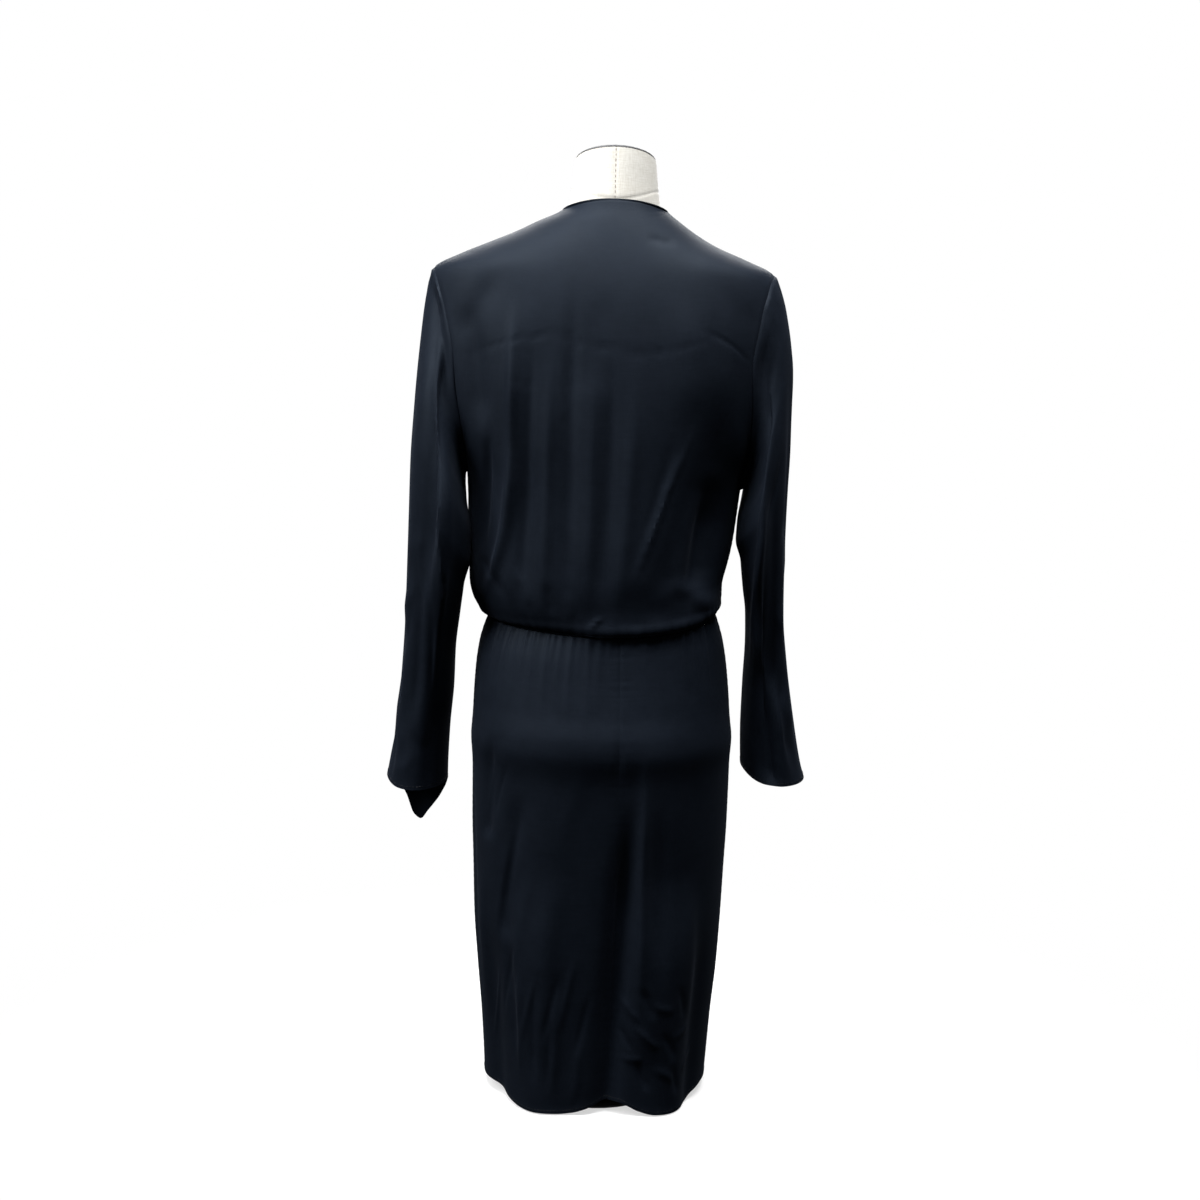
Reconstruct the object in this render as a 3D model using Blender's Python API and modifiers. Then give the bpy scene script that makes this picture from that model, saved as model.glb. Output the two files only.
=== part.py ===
"""A crossover dress with an elastic waist, on a limbless dress form.

Metres, +Z up. The dress faces -Y, so its back is towards +Y and the wearer's left
is towards +X. The origin is the centre of the underside of the form's foot.
"""
import math
from collections import namedtuple

import bmesh
import bpy
import numpy as np

# ---------------------------------------------------------------- driving sizes
WALL = 0.0015             # thickness of the cloth
SEAM_GAP = 0.0003         # room between two pieces that are sewn together
SEAM_SLACK = 0.00002      # and a trace more, against rounding
MITRE_LIMIT = 0.6         # the sharpest mitre at which two walls meet at a seam
SQUARENESS = 2.2          # 2 is an ellipse; more fills the corners of a level section

WAIST = 0.580             # height of the bodice's lower edge at the centre back
WAIST_LIFT_LEFT = 0.0085  # how far the waist seam rises at each side and in front
WAIST_LIFT_RIGHT = 0.0155
WAIST_LIFT_FRONT = 0.004
BODICE_LEVEL_FROM = 0.68  # the rise of the waist has faded out here, above
SKIRT_LEVEL_FROM = 0.48   # and here, below
UNDERARM_LEFT = 0.750
UNDERARM_RIGHT = 0.738
SHOULDER_TIP = 0.990
NECK_POINT = 1.058        # where the shoulder seam meets the neck
NECK_BACK = 1.069         # top of the neckline at the centre back

CASING_HEIGHT = 0.005
CASING_DEPTH = 0.002
CASING_RECESS = 0.0006    # the elastic draws the casing in behind the bodice's edge
SKIRT_TOP = WAIST - CASING_HEIGHT
SHOULDER_DROP = 0.0024    # from the cloth's outer face down to the form's shoulders
NECK_DROP = 0.0030        # more room beside the neck, for the neck band
NECK_DROP_FROM = 1.030
NECK_DROP_FULL = 1.046
HEM = 0.008               # mean height of the skirt's lower edge
HEM_LINE_FROM = 0.200     # above this the rows are level whatever the hem does
CENTRE_SEAM = -6.2        # degrees from the centre back to the skirt's back seam

LAP_UNDER = 0.0040        # how far the under front lies behind the over front
LAP_AT_WAIST = 0.0015     # and how much further at the waist seam
LAP_WAIST_TOP = 0.605
LAP_BODICE_FULL = 0.014   # beyond the over front's edge: still full, then none
LAP_BODICE_NONE = 0.040
LAP_SKIRT_NONE = 118.0    # the same on the skirt, in degrees from the centre back
LAP_SKIRT_FULL = 136.0
BAND_RADIUS = 0.0016
BAND_SIDES = 6
BAND_SPACING = 0.0015     # rings of the band are never closer than this
BAND_END_LIFT = 0.0006    # keeps the band's two ends off the waist casing

LOW_ROWS = (0.0, 0.03, 0.08, 0.16, 0.28, 0.47, 0.72, 1.0)   # waist to underarm
ARM_ROWS = 12             # underarm to shoulder tip
NECK_COLUMNS = 10
SHOULDER_COLUMNS = 11
FRONT_COLUMNS = 16
LOW_FAN = 90.0            # degrees over which columns are spread on the low rows,
TOP_FAN = 4.0             # and on the top ones, where they come out even
EDGE_ROWS_HOLD = 6        # how closely only the side columns keep the armhole's rows
CASING_STEPS = 60

# ------------------------------------------------------------------ size tables
# Level sections: half widths to +X and -X, depths to +Y and -Y.
Section = namedtuple("Section", "height left right back front")

BODICE_SECTIONS = (
    Section(0.580, 0.1390, 0.1325, 0.1000, 0.0980),
    Section(0.590, 0.1490, 0.1365, 0.1085, 0.1020),
    Section(0.602, 0.1575, 0.1385, 0.1145, 0.1065),
    Section(0.618, 0.1620, 0.1395, 0.1175, 0.1110),
    Section(0.640, 0.1628, 0.1440, 0.1190, 0.1145),
    Section(0.680, 0.1620, 0.1510, 0.1190, 0.1180),
    Section(0.720, 0.1614, 0.1555, 0.1180, 0.1210),
    Section(0.748, 0.1630, 0.1585, 0.1175, 0.1230),
    Section(0.780, 0.1770, 0.1740, 0.1172, 0.1245),
    Section(0.820, 0.1950, 0.1890, 0.1168, 0.1245),
    Section(0.870, 0.2080, 0.1990, 0.1145, 0.1190),
    Section(0.920, 0.2125, 0.2020, 0.1098, 0.1060),
    Section(0.960, 0.2128, 0.1990, 0.1025, 0.0920),
    Section(0.990, 0.2086, 0.1880, 0.0940, 0.0780),
    Section(1.007, 0.1770, 0.1530, 0.0882, 0.0690),
    Section(1.020, 0.1460, 0.1210, 0.0832, 0.0610),
    Section(1.034, 0.1120, 0.0960, 0.0774, 0.0530),
    Section(1.046, 0.0880, 0.0790, 0.0718, 0.0460),
    Section(1.058, 0.0620, 0.0640, 0.0655, 0.0400),
    Section(1.072, 0.0560, 0.0570, 0.0595, 0.0360),
)

SKIRT_SECTIONS = (
    Section(0.575, 0.1390, 0.1325, 0.1000, 0.0980),
    Section(0.562, 0.1442, 0.1375, 0.1070, 0.1020),
    Section(0.546, 0.1490, 0.1428, 0.1130, 0.1060),
    Section(0.520, 0.1530, 0.1483, 0.1190, 0.1100),
    Section(0.486, 0.1552, 0.1525, 0.1262, 0.1125),
    Section(0.456, 0.1560, 0.1543, 0.1322, 0.1129),
    Section(0.441, 0.1562, 0.1550, 0.1318, 0.1130),
    Section(0.400, 0.1555, 0.1555, 0.1276, 0.1130),
    Section(0.340, 0.1550, 0.1550, 0.1246, 0.1120),
    Section(0.280, 0.1530, 0.1530, 0.1224, 0.1110),
    Section(0.218, 0.1510, 0.1510, 0.1200, 0.1110),
    Section(0.155, 0.1462, 0.1480, 0.1180, 0.1100),
    Section(0.094, 0.1408, 0.1430, 0.1160, 0.1100),
    Section(0.046, 0.1375, 0.1400, 0.1150, 0.1100),
    Section(0.008, 0.1355, 0.1378, 0.1150, 0.1100),
)

# The form keeps clear of the cloth except along the shoulders, where it carries it.
FORM_SECTIONS = (
    Section(0.372, 0.1180, 0.1180, 0.0860, 0.0800),
    Section(0.378, 0.1290, 0.1290, 0.0970, 0.0890),
    Section(0.400, 0.1400, 0.1400, 0.1070, 0.0960),
    Section(0.460, 0.1465, 0.1465, 0.1180, 0.1000),
    Section(0.520, 0.1400, 0.1400, 0.1090, 0.0960),
    Section(0.585, 0.1225, 0.1225, 0.0880, 0.0850),
    Section(0.660, 0.1080, 0.1080, 0.0780, 0.0800),
    Section(0.740, 0.1220, 0.1220, 0.0880, 0.0980),
    Section(0.820, 0.1420, 0.1420, 0.0980, 0.1100),
    Section(0.880, 0.1500, 0.1500, 0.0990, 0.1020),
    Section(0.940, 0.1580, 0.1560, 0.0900, 0.0820),
    Section(0.975, 0.1640, 0.1580, 0.0780, 0.0700),
    Section(0.992, 0.1640, 0.1570, 0.0700, 0.0620),
    Section(1.003, 0.1600, 0.1520, 0.0650, 0.0570),
    Section(1.010, 0.1530, 0.1450, 0.0620, 0.0545),
    Section(1.018, 0.1430, 0.1350, 0.0590, 0.0510),
    Section(1.032, 0.1150, 0.1100, 0.0565, 0.0480),
    Section(1.044, 0.0840, 0.0800, 0.0550, 0.0445),
    Section(1.051, 0.0650, 0.0640, 0.0545, 0.0430),
    Section(1.057, 0.0545, 0.0545, 0.0542, 0.0430),
    Section(1.070, 0.0520, 0.0520, 0.0540, 0.0435),
    Section(1.085, 0.0500, 0.0500, 0.0525, 0.0440),
    Section(1.113, 0.0470, 0.0470, 0.0500, 0.0440),
)

# How far the armhole is cut in from the bodice's side line, from underarm to tip.
Armhole = namedtuple("Armhole", "part inset_left inset_right front_extra")
ARMHOLE = (
    Armhole(0.00, 0.0000, 0.0000, 0.000),
    Armhole(0.10, 0.0080, 0.0060, 0.002),
    Armhole(0.29, 0.0230, 0.0235, 0.005),
    Armhole(0.60, 0.0305, 0.0395, 0.008),
    Armhole(0.80, 0.0217, 0.0310, 0.006),
    Armhole(0.94, 0.0100, 0.0155, 0.001),
    Armhole(1.00, 0.0000, 0.0000, 0.000),
)

# Free edges of the two fronts, as distances from the centre towards +X.
FreeEdge = namedtuple("FreeEdge", "height over under")
FREE_EDGES = (
    FreeEdge(0.580, 0.086, -0.086),
    FreeEdge(0.620, 0.078, -0.078),
    FreeEdge(0.700, 0.057, -0.057),
    FreeEdge(0.780, 0.030, -0.030),
    FreeEdge(0.860, -0.002, 0.002),
    FreeEdge(0.930, -0.030, 0.030),
    FreeEdge(1.000, -0.052, 0.050),
    FreeEdge(1.058, -0.064, 0.062),
)

# Sleeves: the outer and the inner side of each section across the arm, how far back
# the inner side hangs, the section's middle towards +Y and half its depth. Widths are
# away from the centre on either side.
Station = namedtuple("Station", "along outer outer_height inner inner_height inner_back "
                     "middle half_depth")
SLEEVE_LEFT = (
    Station(0.00, 0.2086, 0.990, 0.1630, 0.750, 0.000, 0.000, 0.066),
    Station(0.04, 0.2150, 0.970, 0.1665, 0.753, 0.000, 0.000, 0.067),
    Station(0.09, 0.2195, 0.943, 0.1690, 0.748, 0.004, 0.000, 0.069),
    Station(0.15, 0.2230, 0.910, 0.1682, 0.737, 0.014, 0.000, 0.071),
    Station(0.22, 0.2265, 0.872, 0.1658, 0.721, 0.026, 0.000, 0.072),
    Station(0.30, 0.2300, 0.828, 0.1640, 0.695, 0.036, -0.001, 0.072),
    Station(0.40, 0.2340, 0.770, 0.1640, 0.660, 0.040, -0.004, 0.070),
    Station(0.50, 0.2360, 0.705, 0.1670, 0.625, 0.034, -0.008, 0.068),
    Station(0.60, 0.2380, 0.640, 0.1725, 0.585, 0.024, -0.012, 0.066),
    Station(0.70, 0.2402, 0.575, 0.1785, 0.540, 0.012, -0.016, 0.063),
    Station(0.80, 0.2445, 0.510, 0.1810, 0.490, 0.004, -0.020, 0.060),
    Station(0.90, 0.2505, 0.445, 0.1858, 0.440, 0.000, -0.024, 0.058),
    Station(0.97, 0.2585, 0.400, 0.1880, 0.396, 0.000, -0.027, 0.058),
    Station(1.00, 0.2622, 0.378, 0.1885, 0.372, 0.000, -0.028, 0.058),
)
SLEEVE_RIGHT = (
    Station(0.00, 0.1880, 0.990, 0.1581, 0.738, 0.000, 0.000, 0.067),
    Station(0.04, 0.1965, 0.972, 0.1618, 0.741, 0.000, 0.000, 0.068),
    Station(0.09, 0.2035, 0.948, 0.1632, 0.735, 0.004, 0.000, 0.070),
    Station(0.15, 0.2085, 0.918, 0.1610, 0.720, 0.014, 0.000, 0.071),
    Station(0.22, 0.2110, 0.880, 0.1580, 0.700, 0.024, 0.000, 0.072),
    Station(0.30, 0.2110, 0.838, 0.1570, 0.680, 0.028, -0.001, 0.072),
    Station(0.40, 0.2122, 0.780, 0.1595, 0.655, 0.026, -0.004, 0.070),
    Station(0.50, 0.2130, 0.715, 0.1640, 0.622, 0.020, -0.008, 0.067),
    Station(0.60, 0.2138, 0.650, 0.1690, 0.590, 0.012, -0.012, 0.064),
    Station(0.70, 0.2155, 0.590, 0.1708, 0.545, 0.006, -0.015, 0.062),
    Station(0.80, 0.2222, 0.530, 0.1700, 0.500, 0.000, -0.018, 0.061),
    Station(0.90, 0.2335, 0.460, 0.1695, 0.450, 0.000, -0.020, 0.062),
    Station(0.97, 0.2435, 0.408, 0.1706, 0.412, 0.000, -0.021, 0.062),
    Station(1.00, 0.2490, 0.388, 0.1715, 0.398, 0.000, -0.022, 0.062),
)
SLEEVE_ROWS = (0.0, 0.02, 0.045, 0.08, 0.12, 0.17, 0.23, 0.30, 0.38, 0.47, 0.56, 0.65,
               0.74, 0.82, 0.89, 0.94, 0.975, 1.0)
SLEEVE_TOP_BLEND = 0.28   # the part of the sleeve that takes up the armhole's shape
SLEEVE_HEM_FROM = 0.80    # the part from which the rows start to follow the hem

# How far each sleeve's hem hangs below its station, by degrees round from outside.
HemPoint = namedtuple("HemPoint", "turn left right")
SLEEVE_HEM = (
    HemPoint(0, 0.000, 0.000),
    HemPoint(60, 0.006, 0.003),
    HemPoint(110, 0.004, 0.006),
    HemPoint(180, 0.000, -0.004),
    HemPoint(217, 0.023, -0.006),
    HemPoint(236, 0.041, -0.004),
    HemPoint(258, 0.061, -0.002),
    HemPoint(273, 0.073, 0.000),
    HemPoint(286, 0.067, 0.001),
    HemPoint(302, 0.040, 0.002),
    HemPoint(330, 0.012, 0.001),
    HemPoint(360, 0.000, 0.000),
)

# How far the skirt's hem lies above its mean height: it is caught up at the deep
# fold near the back seam and hangs lowest on both sides of it.
SkirtHem = namedtuple("SkirtHem", "turn rise")
SKIRT_HEM = (
    SkirtHem(-180, -0.0020),
    SkirtHem(-150, 0.0010),
    SkirtHem(-115, 0.0030),
    SkirtHem(-90, 0.0060),
    SkirtHem(-73, 0.0065),
    SkirtHem(-60, 0.0010),
    SkirtHem(-52, -0.0058),
    SkirtHem(-38, -0.0062),
    SkirtHem(-28, -0.0058),
    SkirtHem(-20, -0.0010),
    SkirtHem(-15, 0.0050),
    SkirtHem(-11, 0.0085),
    SkirtHem(-5, 0.0080),
    SkirtHem(2, 0.0005),
    SkirtHem(9, -0.0045),
    SkirtHem(16, -0.0060),
    SkirtHem(26, -0.0060),
    SkirtHem(36, -0.0050),
    SkirtHem(46, -0.0015),
    SkirtHem(55, 0.0040),
    SkirtHem(69, 0.0065),
    SkirtHem(90, 0.0040),
    SkirtHem(130, 0.0030),
    SkirtHem(180, -0.0020),
)

# How far the blousing hangs over the waist seam.
Blousing = namedtuple("Blousing", "turn droop")
BLOUSING = (
    Blousing(-180, 0.0005),
    Blousing(-90, 0.0010),
    Blousing(-30, 0.0005),
    Blousing(0, 0.0010),
    Blousing(30, 0.0030),
    Blousing(60, 0.0045),
    Blousing(90, 0.0040),
    Blousing(135, 0.0010),
    Blousing(180, 0.0005),
)
BLOUSING_REACH = 0.010    # how far above the seam the blousing hangs lowest

# Folds are soft ridges, or troughs where the rise is negative, along a line from
# one place to another. Turns are degrees from the centre back towards +X.
Fold = namedtuple("Fold", "turn height low_turn low_height width rise")
FOLD_FULL_FROM = 0.30     # parts of a fold's length between which it has its full rise
FOLD_FULL_TO = 0.85
BACK_FOLDS = (
    Fold(46, 0.840, 44, 0.600, 5.0, 0.0035),
    Fold(35, 0.850, 33, 0.600, 4.5, -0.0035),
    Fold(25, 0.860, 24, 0.600, 4.5, 0.0030),
    Fold(17, 0.840, 16, 0.600, 3.5, -0.0030),
    Fold(10, 0.850, 10, 0.600, 3.5, 0.0030),
    Fold(1, 0.860, 0, 0.610, 4.0, -0.0035),
    Fold(-8, 0.860, -9, 0.610, 4.5, 0.0030),
    Fold(-34, 0.800, -16, 0.620, 4.0, 0.0035),
    Fold(-42, 0.790, -26, 0.620, 6.0, -0.0035),
)
FRONT_FOLDS = (
    Fold(112, 0.800, 118, 0.600, 6.0, -0.0030),
    Fold(128, 0.820, 134, 0.600, 6.0, 0.0035),
    Fold(-112, 0.800, -120, 0.600, 6.0, -0.0030),
    Fold(-128, 0.840, -140, 0.600, 6.0, 0.0035),
    Fold(-150, 0.800, -168, 0.600, 6.0, -0.0030),
    Fold(-166, 0.790, -186, 0.600, 5.0, 0.0030),
)
SKIRT_FOLDS = (
    Fold(-12.5, 0.400, -3.0, -0.100, 5.0, -0.0120),
    Fold(-20.5, 0.470, -21.0, 0.050, 7.0, 0.0040),
    Fold(36, 0.400, 44, 0.200, 5.0, -0.0040),
    Fold(53, 0.460, 58, 0.320, 5.0, -0.0040),
    Fold(26, 0.300, 27, -0.100, 14.0, 0.0110),
    Fold(-30, 0.300, -36, -0.100, 15.0, 0.0150),
    Fold(57, 0.240, 57, -0.100, 9.0, -0.0060),
    Fold(-54, 0.240, -53, -0.100, 8.0, -0.0050),
    Fold(112, 0.440, 108, -0.080, 9.0, -0.0050),
    Fold(172, 0.420, 178, -0.100, 9.0, -0.0045),
    Fold(196, 0.440, 200, -0.080, 9.0, 0.0040),
    Fold(232, 0.400, 228, -0.080, 9.0, -0.0050),
)
# On the sleeves the turn goes round the arm from outside and the height is the part
# of the way down.
SLEEVE_FOLDS = (
    Fold(48, 0.12, 40, 0.95, 13, 0.0040),
    Fold(82, 0.20, 74, 0.90, 13, -0.0050),
    Fold(118, 0.15, 112, 0.96, 15, 0.0040),
    Fold(228, 0.18, 236, 0.90, 14, -0.0045),
    Fold(285, 0.15, 280, 0.96, 15, 0.0040),
    Fold(322, 0.20, 318, 0.90, 13, -0.0045),
)

# Gathers under the waist: each is a raised rib in the skirt's outer face.
Gather = namedtuple("Gather", "turn length rise")
GATHERS_BACK_LEFT = (
    Gather(-2.2, 0.050, 0.0010), Gather(1.6, 0.070, 0.0012), Gather(5.4, 0.090, 0.0013),
    Gather(9.5, 0.080, 0.0012), Gather(13.4, 0.100, 0.0014), Gather(17.2, 0.090, 0.0012),
    Gather(20.8, 0.070, 0.0012), Gather(24.4, 0.100, 0.0014), Gather(28.4, 0.080, 0.0012),
    Gather(32.4, 0.100, 0.0014), Gather(36.4, 0.070, 0.0013), Gather(41.0, 0.090, 0.0014),
    Gather(45.9, 0.080, 0.0012), Gather(51.0, 0.100, 0.0014), Gather(59.0, 0.070, 0.0012),
)
GATHERS_BACK_RIGHT = (
    Gather(-17.2, 0.060, 0.0010), Gather(-26.0, 0.040, 0.0008), Gather(-39.3, 0.070, 0.0012),
    Gather(-44.6, 0.080, 0.0012), Gather(-54.8, 0.080, 0.0012),
)
GATHERS_UNDER = (
    Gather(104, 0.070, 0.0012), Gather(109, 0.090, 0.0013), Gather(115, 0.080, 0.0012),
    Gather(121, 0.060, 0.0012), Gather(128, 0.080, 0.0010),
)
GATHERS_OVER = (
    Gather(156, 0.060, 0.0012), Gather(162, 0.080, 0.0013), Gather(169, 0.070, 0.0012),
    Gather(176, 0.090, 0.0014), Gather(183, 0.080, 0.0012), Gather(191, 0.100, 0.0013),
    Gather(198, 0.070, 0.0012), Gather(206, 0.090, 0.0014), Gather(214, 0.080, 0.0012),
    Gather(223, 0.070, 0.0013), Gather(232, 0.090, 0.0012), Gather(242, 0.070, 0.0012),
)
GATHERED_ROWS = (SKIRT_TOP, 0.566, 0.551, 0.529, 0.500)   # these rows carry the ribs
PLAIN_ROWS = (0.462, 0.415, 0.360, 0.300, 0.240, 0.180, 0.125, 0.075, 0.036, HEM)
WIDE_GAP = 10.0           # degrees: ribs further apart than this get two plain columns

# The skirt's panels, from one seam or free edge to the other; the fronts cross over.
Panel = namedtuple("Panel", "name start end gathers spacing under")
PANELS = (
    Panel("skirt_back_left", CENTRE_SEAM, 90.0, GATHERS_BACK_LEFT, 4.5, False),
    Panel("skirt_back_right", CENTRE_SEAM, -90.0, GATHERS_BACK_RIGHT, 4.5, False),
    Panel("skirt_front_left", 90.0, 215.0, GATHERS_UNDER, 5.0, True),
    Panel("skirt_front_right", 143.0, 270.0, GATHERS_OVER, 5.0, False),
)

FORM_SIDES = 32
FORM_ROW_HEIGHT = 0.034
NECK_SLANT = 15.5         # degrees by which the neck's top falls towards the front
NECK_TOP = 1.113          # height of its middle
SLANT_FROM = 1.060
CAP_THICKNESS = 0.003
CAP_INSET = 0.0006
POLE_RADIUS = 0.0125
FOOT_RADIUS = 0.096
FOOT_CENTRE = 0.012
ROUND_SIDES = 40

# Half the foot's section: it falls softly from a flat middle, where the pole stands,
# to a rounded rim, and is flat below.
Turned = namedtuple("Turned", "radius height")
FOOT_PROFILE = (
    Turned(0.0000, FOOT_CENTRE),
    Turned(0.0165, FOOT_CENTRE),
    Turned(0.0205, 0.0105),
    Turned(0.0386, 0.0099),
    Turned(0.0568, 0.0089),
    Turned(0.0749, 0.0076),
    Turned(0.0930, 0.0060),
    Turned(FOOT_RADIUS, 0.0035),
    Turned(FOOT_RADIUS, 0.0015),
    Turned(0.0945, 0.0),
    Turned(0.0, 0.0),
)

Paint = namedtuple("Paint", "name colour roughness")
CLOTH = Paint("navy black crepe", (0.010, 0.013, 0.020), 0.60)
BINDING = Paint("navy black binding", (0.009, 0.011, 0.017), 0.65)
LINEN = Paint("cream linen", (0.72, 0.70, 0.64), 0.90)
CAP = Paint("grey cap", (0.06, 0.06, 0.065), 0.50)
STEEL = Paint("painted steel", (0.10, 0.10, 0.105), 0.40)


# ------------------------------------------------------------------ small tools
class Curve:
    """A smooth curve through a table's values that never overshoots them."""

    def __init__(self, at, values):
        order = np.argsort(at)
        self.at = np.array(at, float)[order]
        self.values = np.array(values, float)[order]
        step = np.diff(self.at)
        rise = np.diff(self.values) / step
        self.slope = np.empty(len(self.at))
        self.slope[0] = rise[0]
        self.slope[-1] = rise[-1]
        for i in range(1, len(rise)):
            turns = rise[i - 1] * rise[i] <= 0
            mean = 0.0 if turns else 2 * rise[i - 1] * rise[i] / (rise[i - 1] + rise[i])
            self.slope[i] = mean

    def __call__(self, x):
        x = min(max(x, self.at[0]), self.at[-1])
        i = min(max(int(np.searchsorted(self.at, x)) - 1, 0), len(self.at) - 2)
        step = self.at[i + 1] - self.at[i]
        t = (x - self.at[i]) / step
        return ((1 + 2 * t) * (1 - t) ** 2 * self.values[i]
                + t * (1 - t) ** 2 * step * self.slope[i]
                + t * t * (3 - 2 * t) * self.values[i + 1]
                + t * t * (t - 1) * step * self.slope[i + 1])


def columns(table, key):
    """One curve for each column of a table, read by its key column."""
    at = [getattr(row, key) for row in table]
    return {name: Curve(at, [getattr(row, name) for row in table])
            for name in table[0]._fields if name != key}


def smooth_step(low, high, x):
    """0 below low, 1 above high and a soft rise between; low may be the greater."""
    t = min(max((x - low) / (high - low), 0.0), 1.0)
    return t * t * (3 - 2 * t)


def fold_rise(folds, turn, height):
    """The height of all folds at a place, each a soft line that fades at its ends."""
    total = 0.0
    for fold in folds:
        run = (height - fold.height) / (fold.low_height - fold.height)
        if not 0.0 < run < 1.0:
            continue
        middle = fold.turn + (fold.low_turn - fold.turn) * run
        away = (turn - middle + 180.0) % 360.0 - 180.0
        fade = smooth_step(0.0, FOLD_FULL_FROM, run) * smooth_step(1.0, FOLD_FULL_TO, run)
        total += fold.rise * fade * math.exp(-(away / fold.width) ** 2)
    return total


BODICE = columns(BODICE_SECTIONS, "height")
SKIRT = columns(SKIRT_SECTIONS, "height")
FORM = columns(FORM_SECTIONS, "height")
ARM_CUT = columns(ARMHOLE, "part")
FRONT_EDGE = columns(FREE_EDGES, "height")
HEM_DROP = columns(SLEEVE_HEM, "turn")
HEM_RISE = columns(SKIRT_HEM, "turn")["rise"]
BLOUSE_DROOP = columns(BLOUSING, "turn")["droop"]


# ---------------------------------------------------------------- cloth as shells
class Shell:
    """A sheet of cloth: an outer face, its boundary and the wall behind it."""

    def __init__(self, name, rows, closed=False):
        """rows are lists of points from one end to the other; each has as many
        columns as the one before, or half of them."""
        self.name = name
        self.rows = []
        self.points = []
        for row in rows:
            first = len(self.points)
            self.points.extend(row)
            self.rows.append(list(range(first, first + len(row))))
        self.points = np.array(self.points, float)
        self.relief = np.zeros(len(self.points))
        self.faces = []
        for lower, upper in zip(self.rows[:-1], self.rows[1:]):
            self.faces.extend(self.strip(lower, upper, closed))
        self.normals = self.vertex_normals()
        self.borders = self.border_edges()
        self.backs = None

    @staticmethod
    def strip(first, second, closed):
        """Faces between two rows; five-sided ones where the columns are halved."""
        if closed:
            first = first + first[:1]
            second = second + second[:1]
        if len(first) == len(second):
            return [(first[i], first[i + 1], second[i + 1], second[i])
                    for i in range(len(first) - 1)]
        return [(first[2 * i], first[2 * i + 1], first[2 * i + 2], second[i + 1], second[i])
                for i in range(len(second) - 1)]

    def vertex_normals(self):
        normals = np.zeros_like(self.points)
        for face in self.faces:
            corners = self.points[list(face)]
            area = np.cross(corners, np.roll(corners, -1, axis=0)).sum(axis=0)
            for vertex in face:
                normals[vertex] += area
        lengths = np.linalg.norm(normals, axis=1, keepdims=True)
        return normals / np.maximum(lengths, 1e-12)

    def border_edges(self):
        """The directed edges that only one face has."""
        edges = set()
        for face in self.faces:
            for a, b in zip(face, face[1:] + face[:1]):
                if (b, a) in edges:
                    edges.remove((b, a))
                else:
                    edges.add((a, b))
        return sorted(edges)

    def pulled_back(self):
        """The points with the border drawn in by half a seam gap."""
        inward = {}
        for a, b in self.borders:
            along = self.points[b] - self.points[a]
            across = np.cross(self.normals[a] + self.normals[b], along)
            across /= np.linalg.norm(across)
            for vertex in (a, b):
                inward.setdefault(vertex, []).append(across)
        points = self.points.copy()
        for vertex, sides in inward.items():
            shift = sum(sides)
            points[vertex] += shift * (SEAM_GAP / 2 + SEAM_SLACK) / (shift @ sides[0])
        return points

    def solid(self):
        """Vertices and faces of the closed wall."""
        front = self.pulled_back()
        back = front - self.backs
        front = front + self.normals * self.relief[:, None]
        count = len(front)
        faces = list(self.faces)
        faces.extend(tuple(v + count for v in reversed(face)) for face in self.faces)
        faces.extend((b, a, a + count, b + count) for a, b in self.borders)
        return np.vstack((front, back)), faces


def share_seams(shells):
    """Give shells that meet at a border vertex the same way through the wall there."""
    meeting = {}
    for shell in shells:
        shell.backs = shell.normals * WALL
        for vertex in {v for edge in shell.borders for v in edge}:
            key = tuple(np.round(shell.points[vertex], 5))
            meeting.setdefault(key, []).append((shell, vertex))
    for members in meeting.values():
        normals = [shell.normals[vertex] for shell, vertex in members]
        mean = sum(normals) / np.linalg.norm(sum(normals))
        reach = max(sum(mean @ normal for normal in normals) / len(normals), MITRE_LIMIT)
        for shell, vertex in members:
            shell.backs[vertex] = mean * WALL / reach


# ------------------------------------------------------------------- the bodice
def half_width(curves, x, height):
    return curves["left"](height) if x >= 0 else curves["right"](height)


def section_depth(curves, x, height, facing):
    """Distance from the side line to the surface, towards the back or the front."""
    share = min(abs(x) / half_width(curves, x, height), 1.0)
    depth = curves["back" if facing > 0 else "front"](height)
    return depth * (1.0 - share ** SQUARENESS) ** (1.0 / SQUARENESS)


def turn_at(curves, x, height, facing):
    """Degrees from the centre back towards +X, up to 180 at the front."""
    share = min(max(x / half_width(curves, x, height), -1.0), 1.0)
    angle = math.degrees(math.asin(share))
    if facing > 0:
        return angle
    return 180.0 - angle if angle >= 0 else -180.0 - angle


def waist_lift(turn):
    """The waist seam rises a little at both sides and in front."""
    side = math.sin(math.radians(turn)) ** 2
    front = max(0.0, -math.cos(math.radians(turn))) ** 2
    at_side = WAIST_LIFT_LEFT if turn % 360.0 < 180.0 else WAIST_LIFT_RIGHT
    return side * at_side + front * WAIST_LIFT_FRONT


def settle(turn, height):
    """Height of a bodice point once the waist has risen and the blousing sagged."""
    above = max(height - WAIST, 0.0) / BLOUSING_REACH
    sag = BLOUSE_DROOP(turn) * above * math.exp(1.0 - above)
    return height + waist_lift(turn) * smooth_step(BODICE_LEVEL_FROM, WAIST, height) - sag


def bodice_point(x, height, facing, folds=(), inward=0.0, flat_on_line=False):
    """A point of the bodice's outer face at a nominal height."""
    turn = turn_at(BODICE, x, height, facing)
    depth = 0.0 if flat_on_line else section_depth(BODICE, x, height, facing)
    half = half_width(BODICE, x, height)
    full = BODICE["back" if facing > 0 else "front"](height)
    out = np.array((x / half ** 2, facing * depth / full ** 2, 0.0))
    out /= np.linalg.norm(out)
    rise = fold_rise(folds, turn, height) - inward
    return np.array((x, facing * depth, settle(turn, height))) + out * rise


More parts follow.
